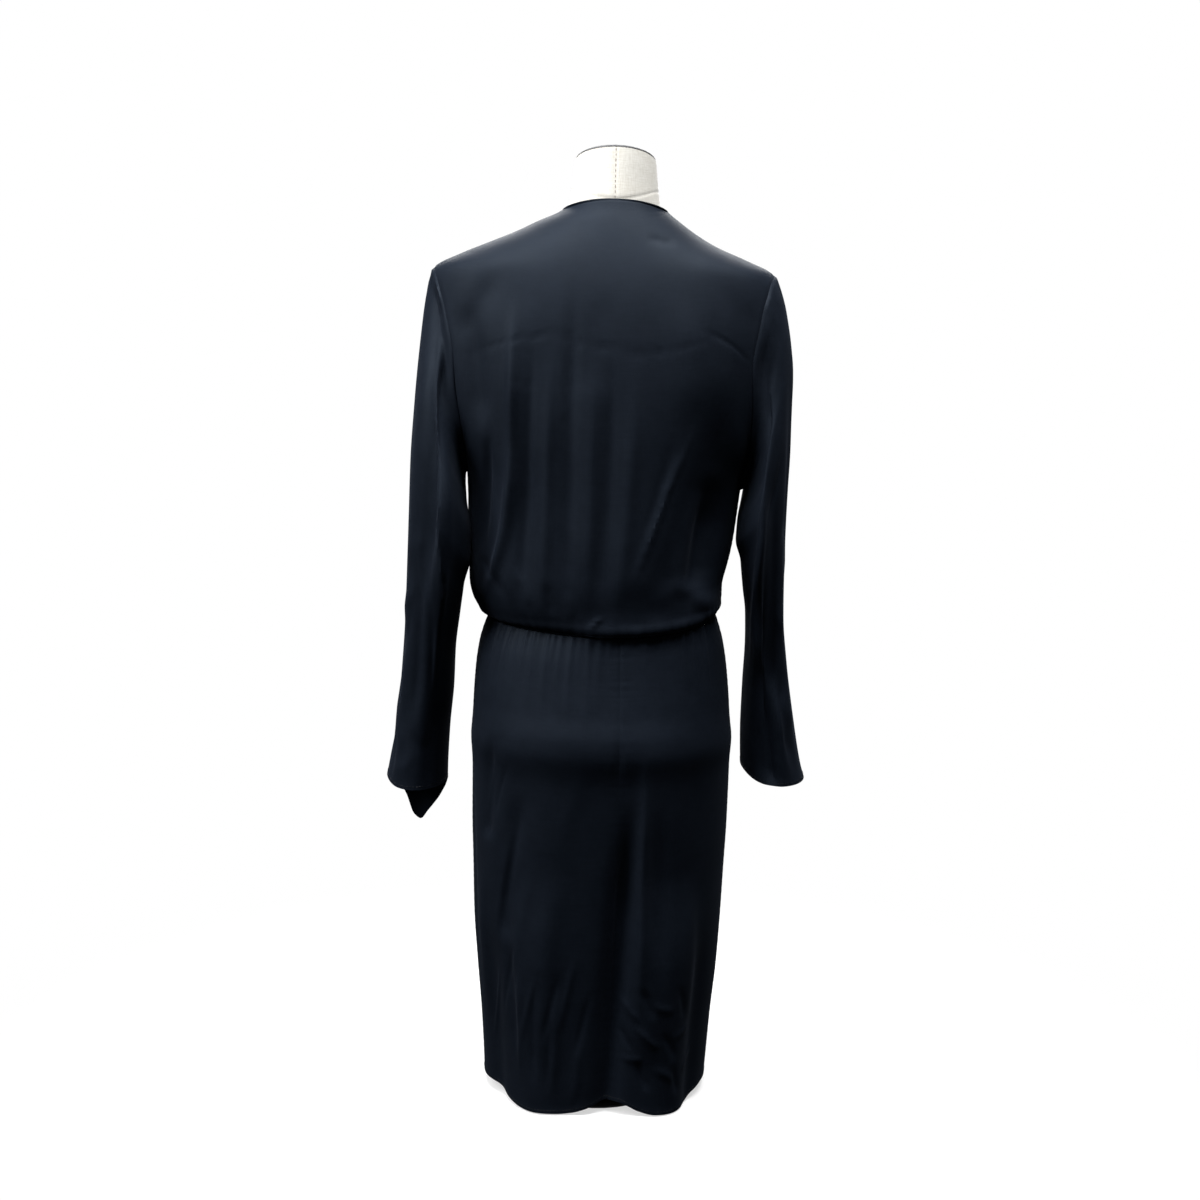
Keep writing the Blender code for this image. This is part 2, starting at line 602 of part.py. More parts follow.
def armhole_x(height, side, facing):
    """Distance of the armhole's edge from the centre."""
    underarm = UNDERARM_LEFT if side > 0 else UNDERARM_RIGHT
    part = (height - underarm) / (SHOULDER_TIP - underarm)
    name = "left" if side > 0 else "right"
    inset = ARM_CUT["inset_" + name](part)
    if facing < 0:
        inset += ARM_CUT["front_extra"](part)
    return BODICE[name](height) - inset


def shoulder_height(x):
    """Height of the shoulder line, where the bodice is exactly this wide."""
    low, high = SHOULDER_TIP, NECK_POINT
    for _ in range(40):
        middle = (low + high) / 2
        if half_width(BODICE, x, middle) > abs(x):
            low = middle
        else:
            high = middle
    return (low + high) / 2


def side_height(row, side):
    """Height of the side seam or armhole edge at a row of the bodice's grid."""
    underarm = UNDERARM_LEFT if side > 0 else UNDERARM_RIGHT
    last_low = len(LOW_ROWS) - 1
    if row <= last_low:
        return WAIST + LOW_ROWS[row] * (underarm - WAIST)
    from_tip = (last_low + ARM_ROWS - row) / ARM_ROWS
    return SHOULDER_TIP - (SHOULDER_TIP - underarm) * (1 - math.cos(math.pi * from_tip)) / 2


def side_width(row, side, facing):
    height = side_height(row, side)
    if row < len(LOW_ROWS):
        return BODICE["left" if side > 0 else "right"](height)
    return armhole_x(height, side, facing)


BODICE_ROWS = len(LOW_ROWS) + ARM_ROWS


def row_height(row, across, top):
    """Height of a grid point, between -1 at the right edge and 1 at the left."""
    underarm = (UNDERARM_LEFT + UNDERARM_RIGHT) / 2
    underarm += across * (UNDERARM_LEFT - UNDERARM_RIGHT) / 2
    last_low = len(LOW_ROWS) - 1
    if row <= last_low:
        return WAIST + LOW_ROWS[row] * (underarm - WAIST)
    from_top = (last_low + ARM_ROWS - row) / ARM_ROWS
    at_edge = (1 - math.cos(math.pi * from_top)) / 2
    edge_share = abs(across) ** EDGE_ROWS_HOLD
    share = at_edge * edge_share + from_top ** 2 * (1 - edge_share)
    return top - share * (top - underarm)


def fan(row):
    """Angle over which a row's columns are spread, from one below the underarm to four
    below the shoulder tip."""
    done = smooth_step(len(LOW_ROWS) - 2, BODICE_ROWS - 5, row)
    return math.radians(LOW_FAN + (TOP_FAN - LOW_FAN) * done)


def neckline_height(x):
    half = BODICE["left" if x >= 0 else "right"](NECK_POINT)
    return NECK_BACK - (NECK_BACK - NECK_POINT) * (x / half) ** 2


def back_columns():
    """Places across the back from right to left, as parts of the half width at the
    top, so that the two neck points fall on columns."""
    shares = []
    for side, name in ((-1, "right"), (1, "left")):
        half = BODICE[name](SHOULDER_TIP)
        neck = BODICE[name](NECK_POINT)
        inner = [neck * i / (NECK_COLUMNS / 2) for i in range(NECK_COLUMNS // 2)]
        outer = [neck + (half - neck) * i / SHOULDER_COLUMNS
                 for i in range(SHOULDER_COLUMNS + 1)]
        shares.append([side * x / half for x in inner + outer])
    right, left = shares
    return list(reversed(right))[:-1] + left


def make_bodice_back():
    """Rows from the waist up, each from the wearer's right to the left."""
    rows = []
    shares = back_columns()
    last = BODICE_ROWS - 1
    neck_first = SHOULDER_COLUMNS
    neck_last = len(shares) - 1 - SHOULDER_COLUMNS
    for row in range(BODICE_ROWS):
        points = []
        spread = fan(row)
        for i, share in enumerate(shares):
            side = 1 if share >= 0 else -1
            top_x = share * BODICE["left" if side > 0 else "right"](SHOULDER_TIP)
            on_neck = neck_first < i < neck_last
            top = neckline_height(top_x) if on_neck else shoulder_height(top_x)
            x = side_width(row, side, 1) * math.sin(share * spread) / math.sin(spread)
            if row == last:
                x = top_x
            flat = row == last and not on_neck
            height = row_height(row, share, top)
            points.append(bodice_point(x, height, 1, BACK_FOLDS, 0.0, flat))
        rows.append(list(reversed(points)))
    return Shell("bodice_back", rows)


def make_bodice_front(name, side, edge_name):
    """One front, from its free edge to its side seam; side is where its seam is."""
    rows = []
    last = BODICE_ROWS - 1
    tip = BODICE["left" if side > 0 else "right"](SHOULDER_TIP)
    neck = BODICE["left" if side > 0 else "right"](NECK_POINT)
    for row in range(BODICE_ROWS):
        points = []
        spread = fan(row)
        radius = side_width(row, side, -1) / math.sin(spread)
        edge_height = row_height(row, 0.0, NECK_POINT)
        edge_angle = math.asin(side * FRONT_EDGE[edge_name](edge_height) / radius)
        for i in range(FRONT_COLUMNS + 1):
            share = i / FRONT_COLUMNS
            top_x = neck + (tip - neck) * share
            top = shoulder_height(side * top_x)
            x = side * radius * math.sin(edge_angle + (spread - edge_angle) * share)
            if row == last:
                x = side * top_x
            height = row_height(row, side * share, top)
            inward = 0.0
            if edge_name == "under":
                over = FRONT_EDGE["over"](height)
                lap = LAP_UNDER + LAP_AT_WAIST * smooth_step(LAP_WAIST_TOP, WAIST, height)
                inward = lap * smooth_step(over + LAP_BODICE_NONE, over + LAP_BODICE_FULL, x)
            points.append(bodice_point(x, height, -1, FRONT_FOLDS, inward, row == last))
        rows.append(points if side > 0 else list(reversed(points)))
    shell = Shell(name, rows)
    shell.free_column = [row[0] if side > 0 else row[-1] for row in shell.rows]
    return shell


def level_waist_and_shoulder(shell, whole_top):
    """Keep the wall upright to the casing below and to the shoulder seam above."""
    for vertex in shell.rows[0]:
        shell.normals[vertex, 2] = 0.0
    for vertex in shell.rows[-1]:
        if whole_top or abs(shell.points[vertex, 1]) < 1e-9:
            shell.normals[vertex, 1] = 0.0
    shell.normals /= np.linalg.norm(shell.normals, axis=1, keepdims=True)


# ------------------------------------------------------------------ the sleeves
def armhole_ring(side):
    """The armhole edge from the shoulder tip down the back and up the front."""
    last_low = len(LOW_ROWS) - 1
    points = []
    for step in range(ARM_ROWS):
        row = last_low + ARM_ROWS - step
        points.append(edge_point(row, side, 1))
    for step in range(ARM_ROWS):
        points.append(edge_point(last_low + step, side, -1))
    return points


def edge_point(row, side, facing):
    """The point that the bodice's grid has at its side edge."""
    height = side_height(row, side)
    x = side * side_width(row, side, facing)
    folds = BACK_FOLDS if facing > 0 else FRONT_FOLDS
    return bodice_point(x, height, facing, folds, 0.0, row == BODICE_ROWS - 1)


def sleeve_section(stations, side, along, turn):
    """A point of the plain tube: turn goes from outside over the back."""
    outer = np.array((side * stations["outer"](along), stations["middle"](along),
                      stations["outer_height"](along)))
    inner = np.array((side * stations["inner"](along),
                      stations["middle"](along) + stations["inner_back"](along),
                      stations["inner_height"](along)))
    middle = (outer + inner) / 2
    out = (outer - inner) / 2
    back = np.array((0.0, stations["half_depth"](along), 0.0))
    return middle, out * math.cos(turn) + back * math.sin(turn)


def make_sleeve(name, side, table, hem_name):
    stations = columns(table, "along")
    start = armhole_ring(side)
    sides = len(start)
    rows = []
    for along in SLEEVE_ROWS:
        keep = (1 - min(along / SLEEVE_TOP_BLEND, 1.0)) ** 2
        low = smooth_step(SLEEVE_HEM_FROM, 1.0, along)
        points = []
        for i in range(sides):
            turn = 2 * math.pi * i / sides
            middle, arm = sleeve_section(stations, side, along, turn)
            first_middle, first_arm = sleeve_section(stations, side, 0.0, turn)
            point = middle + arm + (start[i] - first_middle - first_arm) * keep
            out = arm / np.linalg.norm(arm)
            point = point + out * fold_rise(SLEEVE_FOLDS, math.degrees(turn), along)
            point[2] -= HEM_DROP[hem_name](math.degrees(turn)) * low
            points.append(point)
        rows.append(points)
    if side > 0:
        rows = [list(reversed(row)) for row in rows]
    return Shell(name, rows, closed=True)


# -------------------------------------------------------------------- the skirt
def lap_depth(turn):
    """How far the under front lies behind the over front."""
    return LAP_UNDER * smooth_step(LAP_SKIRT_NONE, LAP_SKIRT_FULL, turn)


def signed_power(value, power):
    return math.copysign(abs(value) ** power, value)


def skirt_point(turn, height, inward=0.0):
    """A point of the skirt's outer face at a nominal height."""
    angle = math.radians(turn)
    across, along = math.sin(angle), math.cos(angle)
    half = SKIRT["left"](height) if across >= 0 else SKIRT["right"](height)
    depth = SKIRT["back"](height) if along >= 0 else SKIRT["front"](height)
    x = signed_power(across, 2 / SQUARENESS) * half
    y = signed_power(along, 2 / SQUARENESS) * depth
    out = np.array((signed_power(x / half, SQUARENESS - 1) / half,
                    signed_power(y / depth, SQUARENESS - 1) / depth, 0.0))
    out /= np.linalg.norm(out)
    rise = fold_rise(SKIRT_FOLDS, turn, height) - inward
    top_rise = waist_lift(turn) * smooth_step(SKIRT_LEVEL_FROM, SKIRT_TOP, height)
    around = (turn + 180.0) % 360.0 - 180.0
    low_rise = HEM_RISE(around) * smooth_step(HEM_LINE_FROM, HEM, height)
    return np.array((x, y, height + top_rise + low_rise)) + out * rise


def gather_columns(start, end, gathers, spacing):
    """Turns of the columns: one on each rib and one between ribs, then even ones;
    an even number of steps, so that they can be halved lower down."""
    turns = [start]
    for before, after in zip(gathers[:-1], gathers[1:]):
        turns.append(before.turn)
        if abs(after.turn - before.turn) < WIDE_GAP:
            turns.append((before.turn + after.turn) / 2)
        else:
            turns.append(before.turn + (after.turn - before.turn) / 3)
            turns.append(after.turn - (after.turn - before.turn) / 3)
    turns.append(gathers[-1].turn)
    turns.append(gathers[-1].turn + (turns[-1] - turns[-2]))
    left = abs(end - turns[-1])
    steps = max(1, round(left / spacing))
    if (len(turns) - 1 + steps) % 2:
        steps += 1
    last = turns[-1]
    turns.extend(last + (end - last) * (i + 1) / steps for i in range(steps))
    return turns


def make_skirt_panel(panel):
    """Rows from the waist down, with the columns in the direction of rising turn."""
    turns = gather_columns(panel.start, panel.end, panel.gathers, panel.spacing)
    rows = []
    for height in GATHERED_ROWS + PLAIN_ROWS:
        here = turns if height in GATHERED_ROWS else turns[::2]
        if panel.end < panel.start:
            here = here[::-1]
        rows.append([skirt_point(turn, height, lap_depth(turn) if panel.under else 0.0)
                     for turn in here])
    shell = Shell(panel.name, rows)
    ordered = sorted(turns)
    for number, height in enumerate(GATHERED_ROWS):
        for vertex, turn in zip(shell.rows[number], ordered):
            for gather in panel.gathers:
                run = (SKIRT_TOP - height) / gather.length
                if abs(turn - gather.turn) < 1e-6 and run < 1.0:
                    shell.relief[vertex] = gather.rise * (1 - run ** 2)
    for vertex in shell.rows[0]:
        shell.normals[vertex, 2] = 0.0
    shell.normals /= np.linalg.norm(shell.normals, axis=1, keepdims=True)
    return shell


# ------------------------------------------------------------ rings and tubes
def loft(rings, capped=True):
    """Vertices and faces of rings of equal count, joined and closed at both ends;
    without caps the last ring joins the first one again."""
    count = len(rings[0])
    vertices = [point for ring in rings for point in ring]
    faces = []
    pairs = list(zip(range(len(rings) - 1), range(1, len(rings))))
    if not capped:
        pairs.append((len(rings) - 1, 0))
    for low, high in pairs:
        for i in range(count):
            j = (i + 1) % count
            faces.append((low * count + i, low * count + j, high * count + j, high * count + i))
    if capped:
        faces.append(tuple(reversed(range(count))))
        faces.append(tuple(range((len(rings) - 1) * count, len(rings) * count)))
    return vertices, faces


def make_casing():
    """A level band of elastic round the waist, just under the bodice's edge."""
    rings = []
    drop = np.array((0.0, 0.0, CASING_HEIGHT - 1.5 * SEAM_GAP))
    for i in range(CASING_STEPS):
        turn = 360.0 * i / CASING_STEPS
        top = skirt_point(turn, SKIRT_TOP)
        out = top * (1.0, 1.0, 0.0)
        out /= np.linalg.norm(out)
        top[2] = WAIST + waist_lift(turn) - SEAM_GAP / 2
        face = top - out * CASING_RECESS
        back = face - out * CASING_DEPTH
        rings.append([face, back, back - drop, face - drop])
    return loft(rings, capped=False)


def make_neck_band(over, back, under):
    """A rolled binding along the over front's edge, the back neck and the under
    front's edge, from waist to waist."""
    back_neck = back.rows[-1][SHOULDER_COLUMNS:-SHOULDER_COLUMNS]
    path = []
    for shell, vertices in ((over, over.free_column), (back, reversed(back_neck)),
                            (under, reversed(under.free_column))):
        for vertex in vertices:
            point = shell.points[vertex]
            if path and np.linalg.norm(point - path[-1][0]) < BAND_SPACING:
                continue
            path.append((point, shell.backs[vertex]))
    rings = []
    for i, (point, wall) in enumerate(path):
        along = path[min(i + 1, len(path) - 1)][0] - path[max(i - 1, 0)][0]
        along /= np.linalg.norm(along)
        normal = wall - along * (wall @ along)
        normal /= np.linalg.norm(normal)
        beyond = np.cross(along, normal)
        middle = point - normal * WALL / 2 + beyond * (BAND_RADIUS + SEAM_GAP)
        ring = []
        for k in range(BAND_SIDES):
            angle = 2 * math.pi * (k + 0.5) / BAND_SIDES
            ring.append(middle + BAND_RADIUS * (beyond * math.cos(angle)
                                                + normal * math.sin(angle)))
        rings.append(ring)
    for ring in (rings[0], rings[-1]):
        for point in ring:
            point[2] += BAND_END_LIFT
    return loft(rings)


def form_ring(height):
    """A ring of the form: under the shoulder seams it follows the cloth's own line,
    and up the neck it leans to the neck's slanted top."""
    slant = math.tan(math.radians(NECK_SLANT)) * smooth_step(SLANT_FROM, NECK_TOP, height)
    points = []
    for i in range(FORM_SIDES):
        angle = 2 * math.pi * i / FORM_SIDES
        name = "left" if math.cos(angle) >= 0 else "right"
        half = FORM[name](height)
        if SHOULDER_TIP < height < NECK_POINT:
            drop = SHOULDER_DROP
            drop += NECK_DROP * smooth_step(NECK_DROP_FROM, NECK_DROP_FULL, height)
            half = min(half, BODICE[name](height + drop))
        x = half * math.cos(angle)
        y = FORM["back" if math.sin(angle) >= 0 else "front"](height) * math.sin(angle)
        points.append(np.array((x, y, height + slant * y)))
    return points


def make_form_torso():
    """A ring at every section and one halfway wherever two are far apart."""
    heights = [row.height for row in FORM_SECTIONS]
    more = [(a + b) / 2 for a, b in zip(heights, heights[1:]) if b - a > FORM_ROW_HEIGHT]
    return loft([form_ring(height) for height in sorted(heights + more)])


def make_neck_cap():
    """A thin plate on the neck's slanted top, with a softened edge."""
    rim = form_ring(NECK_TOP)
    centre = sum(rim) / len(rim)
    lean = math.radians(NECK_SLANT)
    up = np.array((0.0, -math.sin(lean), math.cos(lean)))
    edge = CAP_THICKNESS / 4
    rings = []
    for lift, inset in ((SEAM_GAP, CAP_INSET + edge), (SEAM_GAP + edge, CAP_INSET),
                        (CAP_THICKNESS - edge, CAP_INSET), (CAP_THICKNESS, CAP_INSET + edge)):
        ring = []
        for point in rim:
            out = (point - centre) / np.linalg.norm(point - centre)
            ring.append(point - out * inset + up * lift)
        rings.append(ring)
    return loft(rings)


# ---------------------------------------------------------------- making objects
def make_material(paint):
    material = bpy.data.materials.new(paint.name)
    material.use_nodes = True
    shader = material.node_tree.nodes["Principled BSDF"]
    shader.inputs["Base Color"].default_value = (*paint.colour, 1.0)
    shader.inputs["Roughness"].default_value = paint.roughness
    return material


def add_object(name, mesh, material, collection):
    mesh.materials.append(material)
    mesh.shade_smooth()
    mesh.set_sharp_from_angle(angle=math.radians(40))
    item = bpy.data.objects.new(name, mesh)
    collection.objects.link(item)
    return item


def mesh_from(name, solid):
    vertices, faces = solid
    mesh = bpy.data.meshes.new(name)
    mesh.from_pydata([tuple(v) for v in vertices], [], faces)
    work = bmesh.new()
    work.from_mesh(mesh)
    bmesh.ops.recalc_face_normals(work, faces=work.faces)
    work.to_mesh(mesh)
    work.free()
    return mesh


def make_pole(collection, material):
    """A straight tube from the foot's top to the torso's underside."""
    low = FOOT_CENTRE + SEAM_GAP
    high = FORM_SECTIONS[0].height - SEAM_GAP
    mesh = bpy.data.meshes.new("form_pole")
    work = bmesh.new()
    bmesh.ops.create_cone(work, cap_ends=True, segments=ROUND_SIDES // 2,
                          radius1=POLE_RADIUS, radius2=POLE_RADIUS, depth=high - low)
    work.to_mesh(mesh)
    work.free()
    pole = add_object("form_pole", mesh, material, collection)
    pole.location.z = (low + high) / 2
    return pole


def make_foot(collection, material):
    """A round foot, turned about the Z axis from half its section."""
    mesh = bpy.data.meshes.new("form_base")
    mesh.from_pydata([(corner.radius, 0.0, corner.height) for corner in FOOT_PROFILE],
                     [(i, i + 1) for i in range(len(FOOT_PROFILE) - 1)], [])
    foot = add_object("form_base", mesh, material, collection)
    turn = foot.modifiers.new("Turn", 'SCREW')
    turn.steps = ROUND_SIDES
    turn.render_steps = ROUND_SIDES
    turn.use_merge_vertices = True
    turn.merge_threshold = 0.0001
    turn.use_normal_calculate = False
    return foot


def main():
    for item in list(bpy.data.objects):
        bpy.data.objects.remove(item)
    collection = bpy.data.collections.new("Wrap dress on dress form")
    bpy.context.scene.collection.children.link(collection)
    cloth = make_material(CLOTH)
    binding = make_material(BINDING)
    linen = make_material(LINEN)
    cap = make_material(CAP)
    steel = make_material(STEEL)

    back = make_bodice_back()
    over = make_bodice_front("bodice_front_right", -1, "over")
    under = make_bodice_front("bodice_front_left", 1, "under")
    level_waist_and_shoulder(back, False)
    level_waist_and_shoulder(over, True)
    level_waist_and_shoulder(under, True)
    sleeves = [make_sleeve("sleeve_left", 1, SLEEVE_LEFT, "left"),
               make_sleeve("sleeve_right", -1, SLEEVE_RIGHT, "right")]
    shells = [back, over, under] + sleeves + [make_skirt_panel(panel) for panel in PANELS]
    share_seams(shells)
    for shell in shells:
        add_object(shell.name, mesh_from(shell.name, shell.solid()), cloth, collection)
    add_object("neck_band", mesh_from("neck_band", make_neck_band(over, back, under)),
               binding, collection)
    add_object("waist_casing", mesh_from("waist_casing", make_casing()), cloth, collection)
    add_object("form_torso", mesh_from("form_torso", make_form_torso()), linen, collection)
    add_object("form_neck_cap", mesh_from("form_neck_cap", make_neck_cap()), cap, collection)
    make_pole(collection, steel)
    make_foot(collection, steel)


main()
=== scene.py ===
# %% [markdown]
# # A crossover dress on a dress form
#
# This lesson gives a finished CAD model its looks. The model is a dress of soft,
# navy-black crepe that hangs on a linen-covered dress form, with its back to the
# camera. The CAD model has every piece at its real size, but with few faces. Here each
# piece of cloth is made again as a fine thin sheet on the same form, with the creases
# that only a fine mesh can hold, and each finish gets a node material.
#
# The first cell loads the CAD model. Its pieces are never moved or changed: a finer
# piece takes the place of a coarse one.

# %% Load the frame
import math
from collections import namedtuple

import bpy
import numpy as np
from mathutils import Matrix


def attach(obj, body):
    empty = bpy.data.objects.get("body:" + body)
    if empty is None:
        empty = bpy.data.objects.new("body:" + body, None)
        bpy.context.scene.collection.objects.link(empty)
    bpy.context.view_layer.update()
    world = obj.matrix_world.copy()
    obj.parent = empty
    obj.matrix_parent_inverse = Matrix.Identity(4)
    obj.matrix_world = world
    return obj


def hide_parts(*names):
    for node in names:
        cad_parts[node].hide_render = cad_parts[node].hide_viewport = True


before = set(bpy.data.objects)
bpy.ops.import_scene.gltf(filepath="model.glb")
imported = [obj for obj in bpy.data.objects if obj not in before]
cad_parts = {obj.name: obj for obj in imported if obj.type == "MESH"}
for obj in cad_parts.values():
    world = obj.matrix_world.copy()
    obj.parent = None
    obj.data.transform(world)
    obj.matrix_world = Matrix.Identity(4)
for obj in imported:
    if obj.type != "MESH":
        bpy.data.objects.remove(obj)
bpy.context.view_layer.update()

# %% [markdown]
# ## The camera
#
# A camera's matrix holds its three axes as columns: X to the right of the picture, Y up
# in the picture and Z backwards, away from what it sees. Building those axes from a tilt
# and a roll is clearer than juggling three Euler angles. The camera stands 2.1 m behind
# the dress, a little below the shoulders, and looks slightly down.

# %% Place the camera
CAMERA_PLACE = (0.0058, 2.100, 0.935)
CAMERA_TILT = 9.0         # degrees below the horizon
CAMERA_ROLL = 1.4
CAMERA_LENS = 53.19       # millimetres
CAMERA_SENSOR = 36.0


def add_item(name, data):
    """A new object in the scene."""
    item = bpy.data.objects.new(name, data)
    bpy.context.scene.collection.objects.link(item)
    return item


def set_axes(item, *columns):
    """Places an object by its axes to the right, up and backwards, and its place."""
    rows = np.vstack((np.column_stack(columns), (0, 0, 0, 1)))
    item.matrix_world = Matrix(rows.tolist())


def add_camera():
    """The camera faces -Y, so the picture's right is towards -X."""
    tilt, roll = math.radians(CAMERA_TILT), math.radians(CAMERA_ROLL)
    forward = np.array((0.0, -math.cos(tilt), -math.sin(tilt)))
    right = np.array((-1.0, 0.0, 0.0))
    down = np.cross(forward, right)
    lens = bpy.data.cameras.new("camera")
    lens.lens = CAMERA_LENS
    lens.sensor_width = CAMERA_SENSOR
    camera = add_item("camera", lens)
    set_axes(camera, right * math.cos(roll) - down * math.sin(roll),
             -right * math.sin(roll) - down * math.cos(roll), -forward, CAMERA_PLACE)
    bpy.context.scene.camera = camera
    return camera


camera = add_camera()
print("camera at", tuple(round(v, 3) for v in camera.matrix_world.translation))

# %% [markdown]
# ## Curves through tables
#
# A dressmaker notes widths and depths at a few heights and lets the cloth run smoothly
# in between. A spline can overshoot such a table and put a bulge where none was
# measured. This one is monotone: between two rows it never leaves their values. It works
# on whole NumPy arrays, so that one call gives a value for every point of a sheet.
#
# Single sizes are in metres. Tables are in thousandths, which are millimetres where they
# hold lengths, so that their rows stay short.

# %% Smooth curves
class Curve:
    """A smooth curve through a table's values that never overshoots them."""

    def __init__(self, at, values):
        order = np.argsort(at)
        self.at = np.array(at, float)[order]
        self.values = np.array(values, float)[order]
        step = np.diff(self.at)
        rise = np.diff(self.values) / step
        self.slope = np.empty(len(self.at))
        self.slope[0] = rise[0]
        self.slope[-1] = rise[-1]
        for i in range(1, len(rise)):
            turns = rise[i - 1] * rise[i] <= 0
            mean = 0.0 if turns else 2 * rise[i - 1] * rise[i] / (rise[i - 1] + rise[i])
            self.slope[i] = mean

    def __call__(self, x):
        x = np.clip(x, self.at[0], self.at[-1])
        i = np.clip(np.searchsorted(self.at, x) - 1, 0, len(self.at) - 2)
        step = self.at[i + 1] - self.at[i]
        t = (x - self.at[i]) / step
        return ((1 + 2 * t) * (1 - t) ** 2 * self.values[i]
                + t * (1 - t) ** 2 * step * self.slope[i]
                + t * t * (3 - 2 * t) * self.values[i + 1]
                + t * t * (t - 1) * step * self.slope[i + 1])


def curves(names, *rows, key=1000):
    """A named curve for each column of a table but the first, which they are read by and
    which counts in parts of key. The others are in thousandths, mostly millimetres."""
    at, *values = np.array(rows, float).T
    return {name: Curve(at / key, np.round(column / 1000, 7))
            for name, column in zip(names.split(), values)}


def turn_curve(*rows):
    """One curve in millimetres, read by a turn in degrees."""
    return curves("rise", *rows, key=1)["rise"]


def sections(*rows):
    """Level sections: height, half width left and right, depth at back and front."""
    return curves("left right back front", *rows)


def smooth_step(low, high, x):
    """0 below low, 1 above high and a soft rise between; low may be the greater."""
    t = np.clip((x - low) / (high - low), 0.0, 1.0)
    return t * t * (3 - 2 * t)


def signed_power(value, power):
    return np.sign(value) * np.abs(value) ** power


def stack(x, y, z):
    """Three arrays as one array of points."""
    return np.stack(np.broadcast_arrays(x, y, z), axis=-1).astype(float)


def unit(vectors):
    return vectors / np.maximum(np.linalg.norm(vectors, axis=-1, keepdims=True), 1e-12)


print("half way between 0 and 1:", float(smooth_step(0.0, 1.0, 0.5)))

# %% [markdown]
# ## The dress's own sizes
#
# The sheets have to lie exactly where the CAD solids are, so the driving sizes are the
# same as there: the heights of the waist, the underarms and the shoulders, and level
# sections through the bodice and the skirt. A section is a squared ellipse with its own
# half width on each side and its own depth to the back and the front, because cloth
# never hangs quite evenly.

# %% Driving sizes and sections
SEAM_GAP = 0.0003
SQUARENESS = 2.2
WAIST = 0.580
WAIST_LIFT_LEFT = 0.0085
WAIST_LIFT_RIGHT = 0.0155
WAIST_LIFT_FRONT = 0.004
BODICE_LEVEL_FROM = 0.68
SKIRT_LEVEL_FROM = 0.48
SIDE = {1: "left", -1: "right"}      # by the sign of x
UNDERARM = {1: 0.750, -1: 0.738}
SHOULDER_TIP = 0.990
NECK_POINT = 1.058
NECK_BACK = 1.069
CASING_HEIGHT = 0.005
CASING_DEPTH = 0.002
CASING_RECESS = 0.0006
SKIRT_TOP = WAIST - CASING_HEIGHT
HEM = 0.008
HEM_LINE_FROM = 0.200
CENTRE_SEAM = -6.2        # degrees from the centre back
LAP_UNDER = 0.0040
LAP_AT_WAIST = 0.0015
LAP_WAIST_TOP = 0.605
LAP_BODICE_FULL = 0.014
LAP_BODICE_NONE = 0.040
LAP_SKIRT_NONE = 118.0
LAP_SKIRT_FULL = 136.0
BAND_RADIUS = 0.0016
BODICE = sections(
    (580, 139, 132.5, 100, 98), (590, 149, 136.5, 108.5, 102), (602, 157.5, 138.5, 114.5, 106.5),
    (618, 162, 139.5, 117.5, 111), (640, 162.8, 144, 119, 114.5), (680, 162, 151, 119, 118),
    (720, 161.4, 155.5, 118, 121), (748, 163, 158.5, 117.5, 123), (780, 177, 174, 117.2, 124.5),
    (820, 195, 189, 116.8, 124.5), (870, 208, 199, 114.5, 119), (920, 212.5, 202, 109.8, 106),
    (960, 212.8, 199, 102.5, 92), (990, 208.6, 188, 94, 78), (1007, 177, 153, 88.2, 69),
    (1020, 146, 121, 83.2, 61), (1034, 112, 96, 77.4, 53), (1046, 88, 79, 71.8, 46),
    (1058, 62, 64, 65.5, 40), (1072, 56, 57, 59.5, 36))
SKIRT = sections(
    (575, 139, 132.5, 100, 98), (562, 144.2, 137.5, 107, 102), (546, 149, 142.8, 113, 106),
    (520, 153, 148.3, 119, 110), (486, 155.2, 152.5, 126.2, 112.5),
    (456, 156, 154.3, 132.2, 112.9), (441, 156.2, 155, 131.8, 113),
    (400, 155.5, 155.5, 127.6, 113), (340, 155, 155, 124.6, 112), (280, 153, 153, 122.4, 111),
    (218, 151, 151, 120, 111), (155, 146.2, 148, 118, 110), (94, 140.8, 143, 116, 110),
    (46, 137.5, 140, 115, 110), (8, 135.5, 137.8, 115, 110))
print("bodice sections:", len(BODICE["left"].at), "skirt sections:", len(SKIRT["left"].at))

# %% [markdown]
# ## Edges: armholes, fronts and hems
#
# What makes a panel a bodice back or a sleeve is its edge. The armhole is cut in from
# the side line, the two fronts slope from the shoulder to the opposite side of the
# waist, and each hem rises and falls as it goes round. Each row starts with what its
# table is read by: a part of the armhole's height, a height, or a turn in degrees.

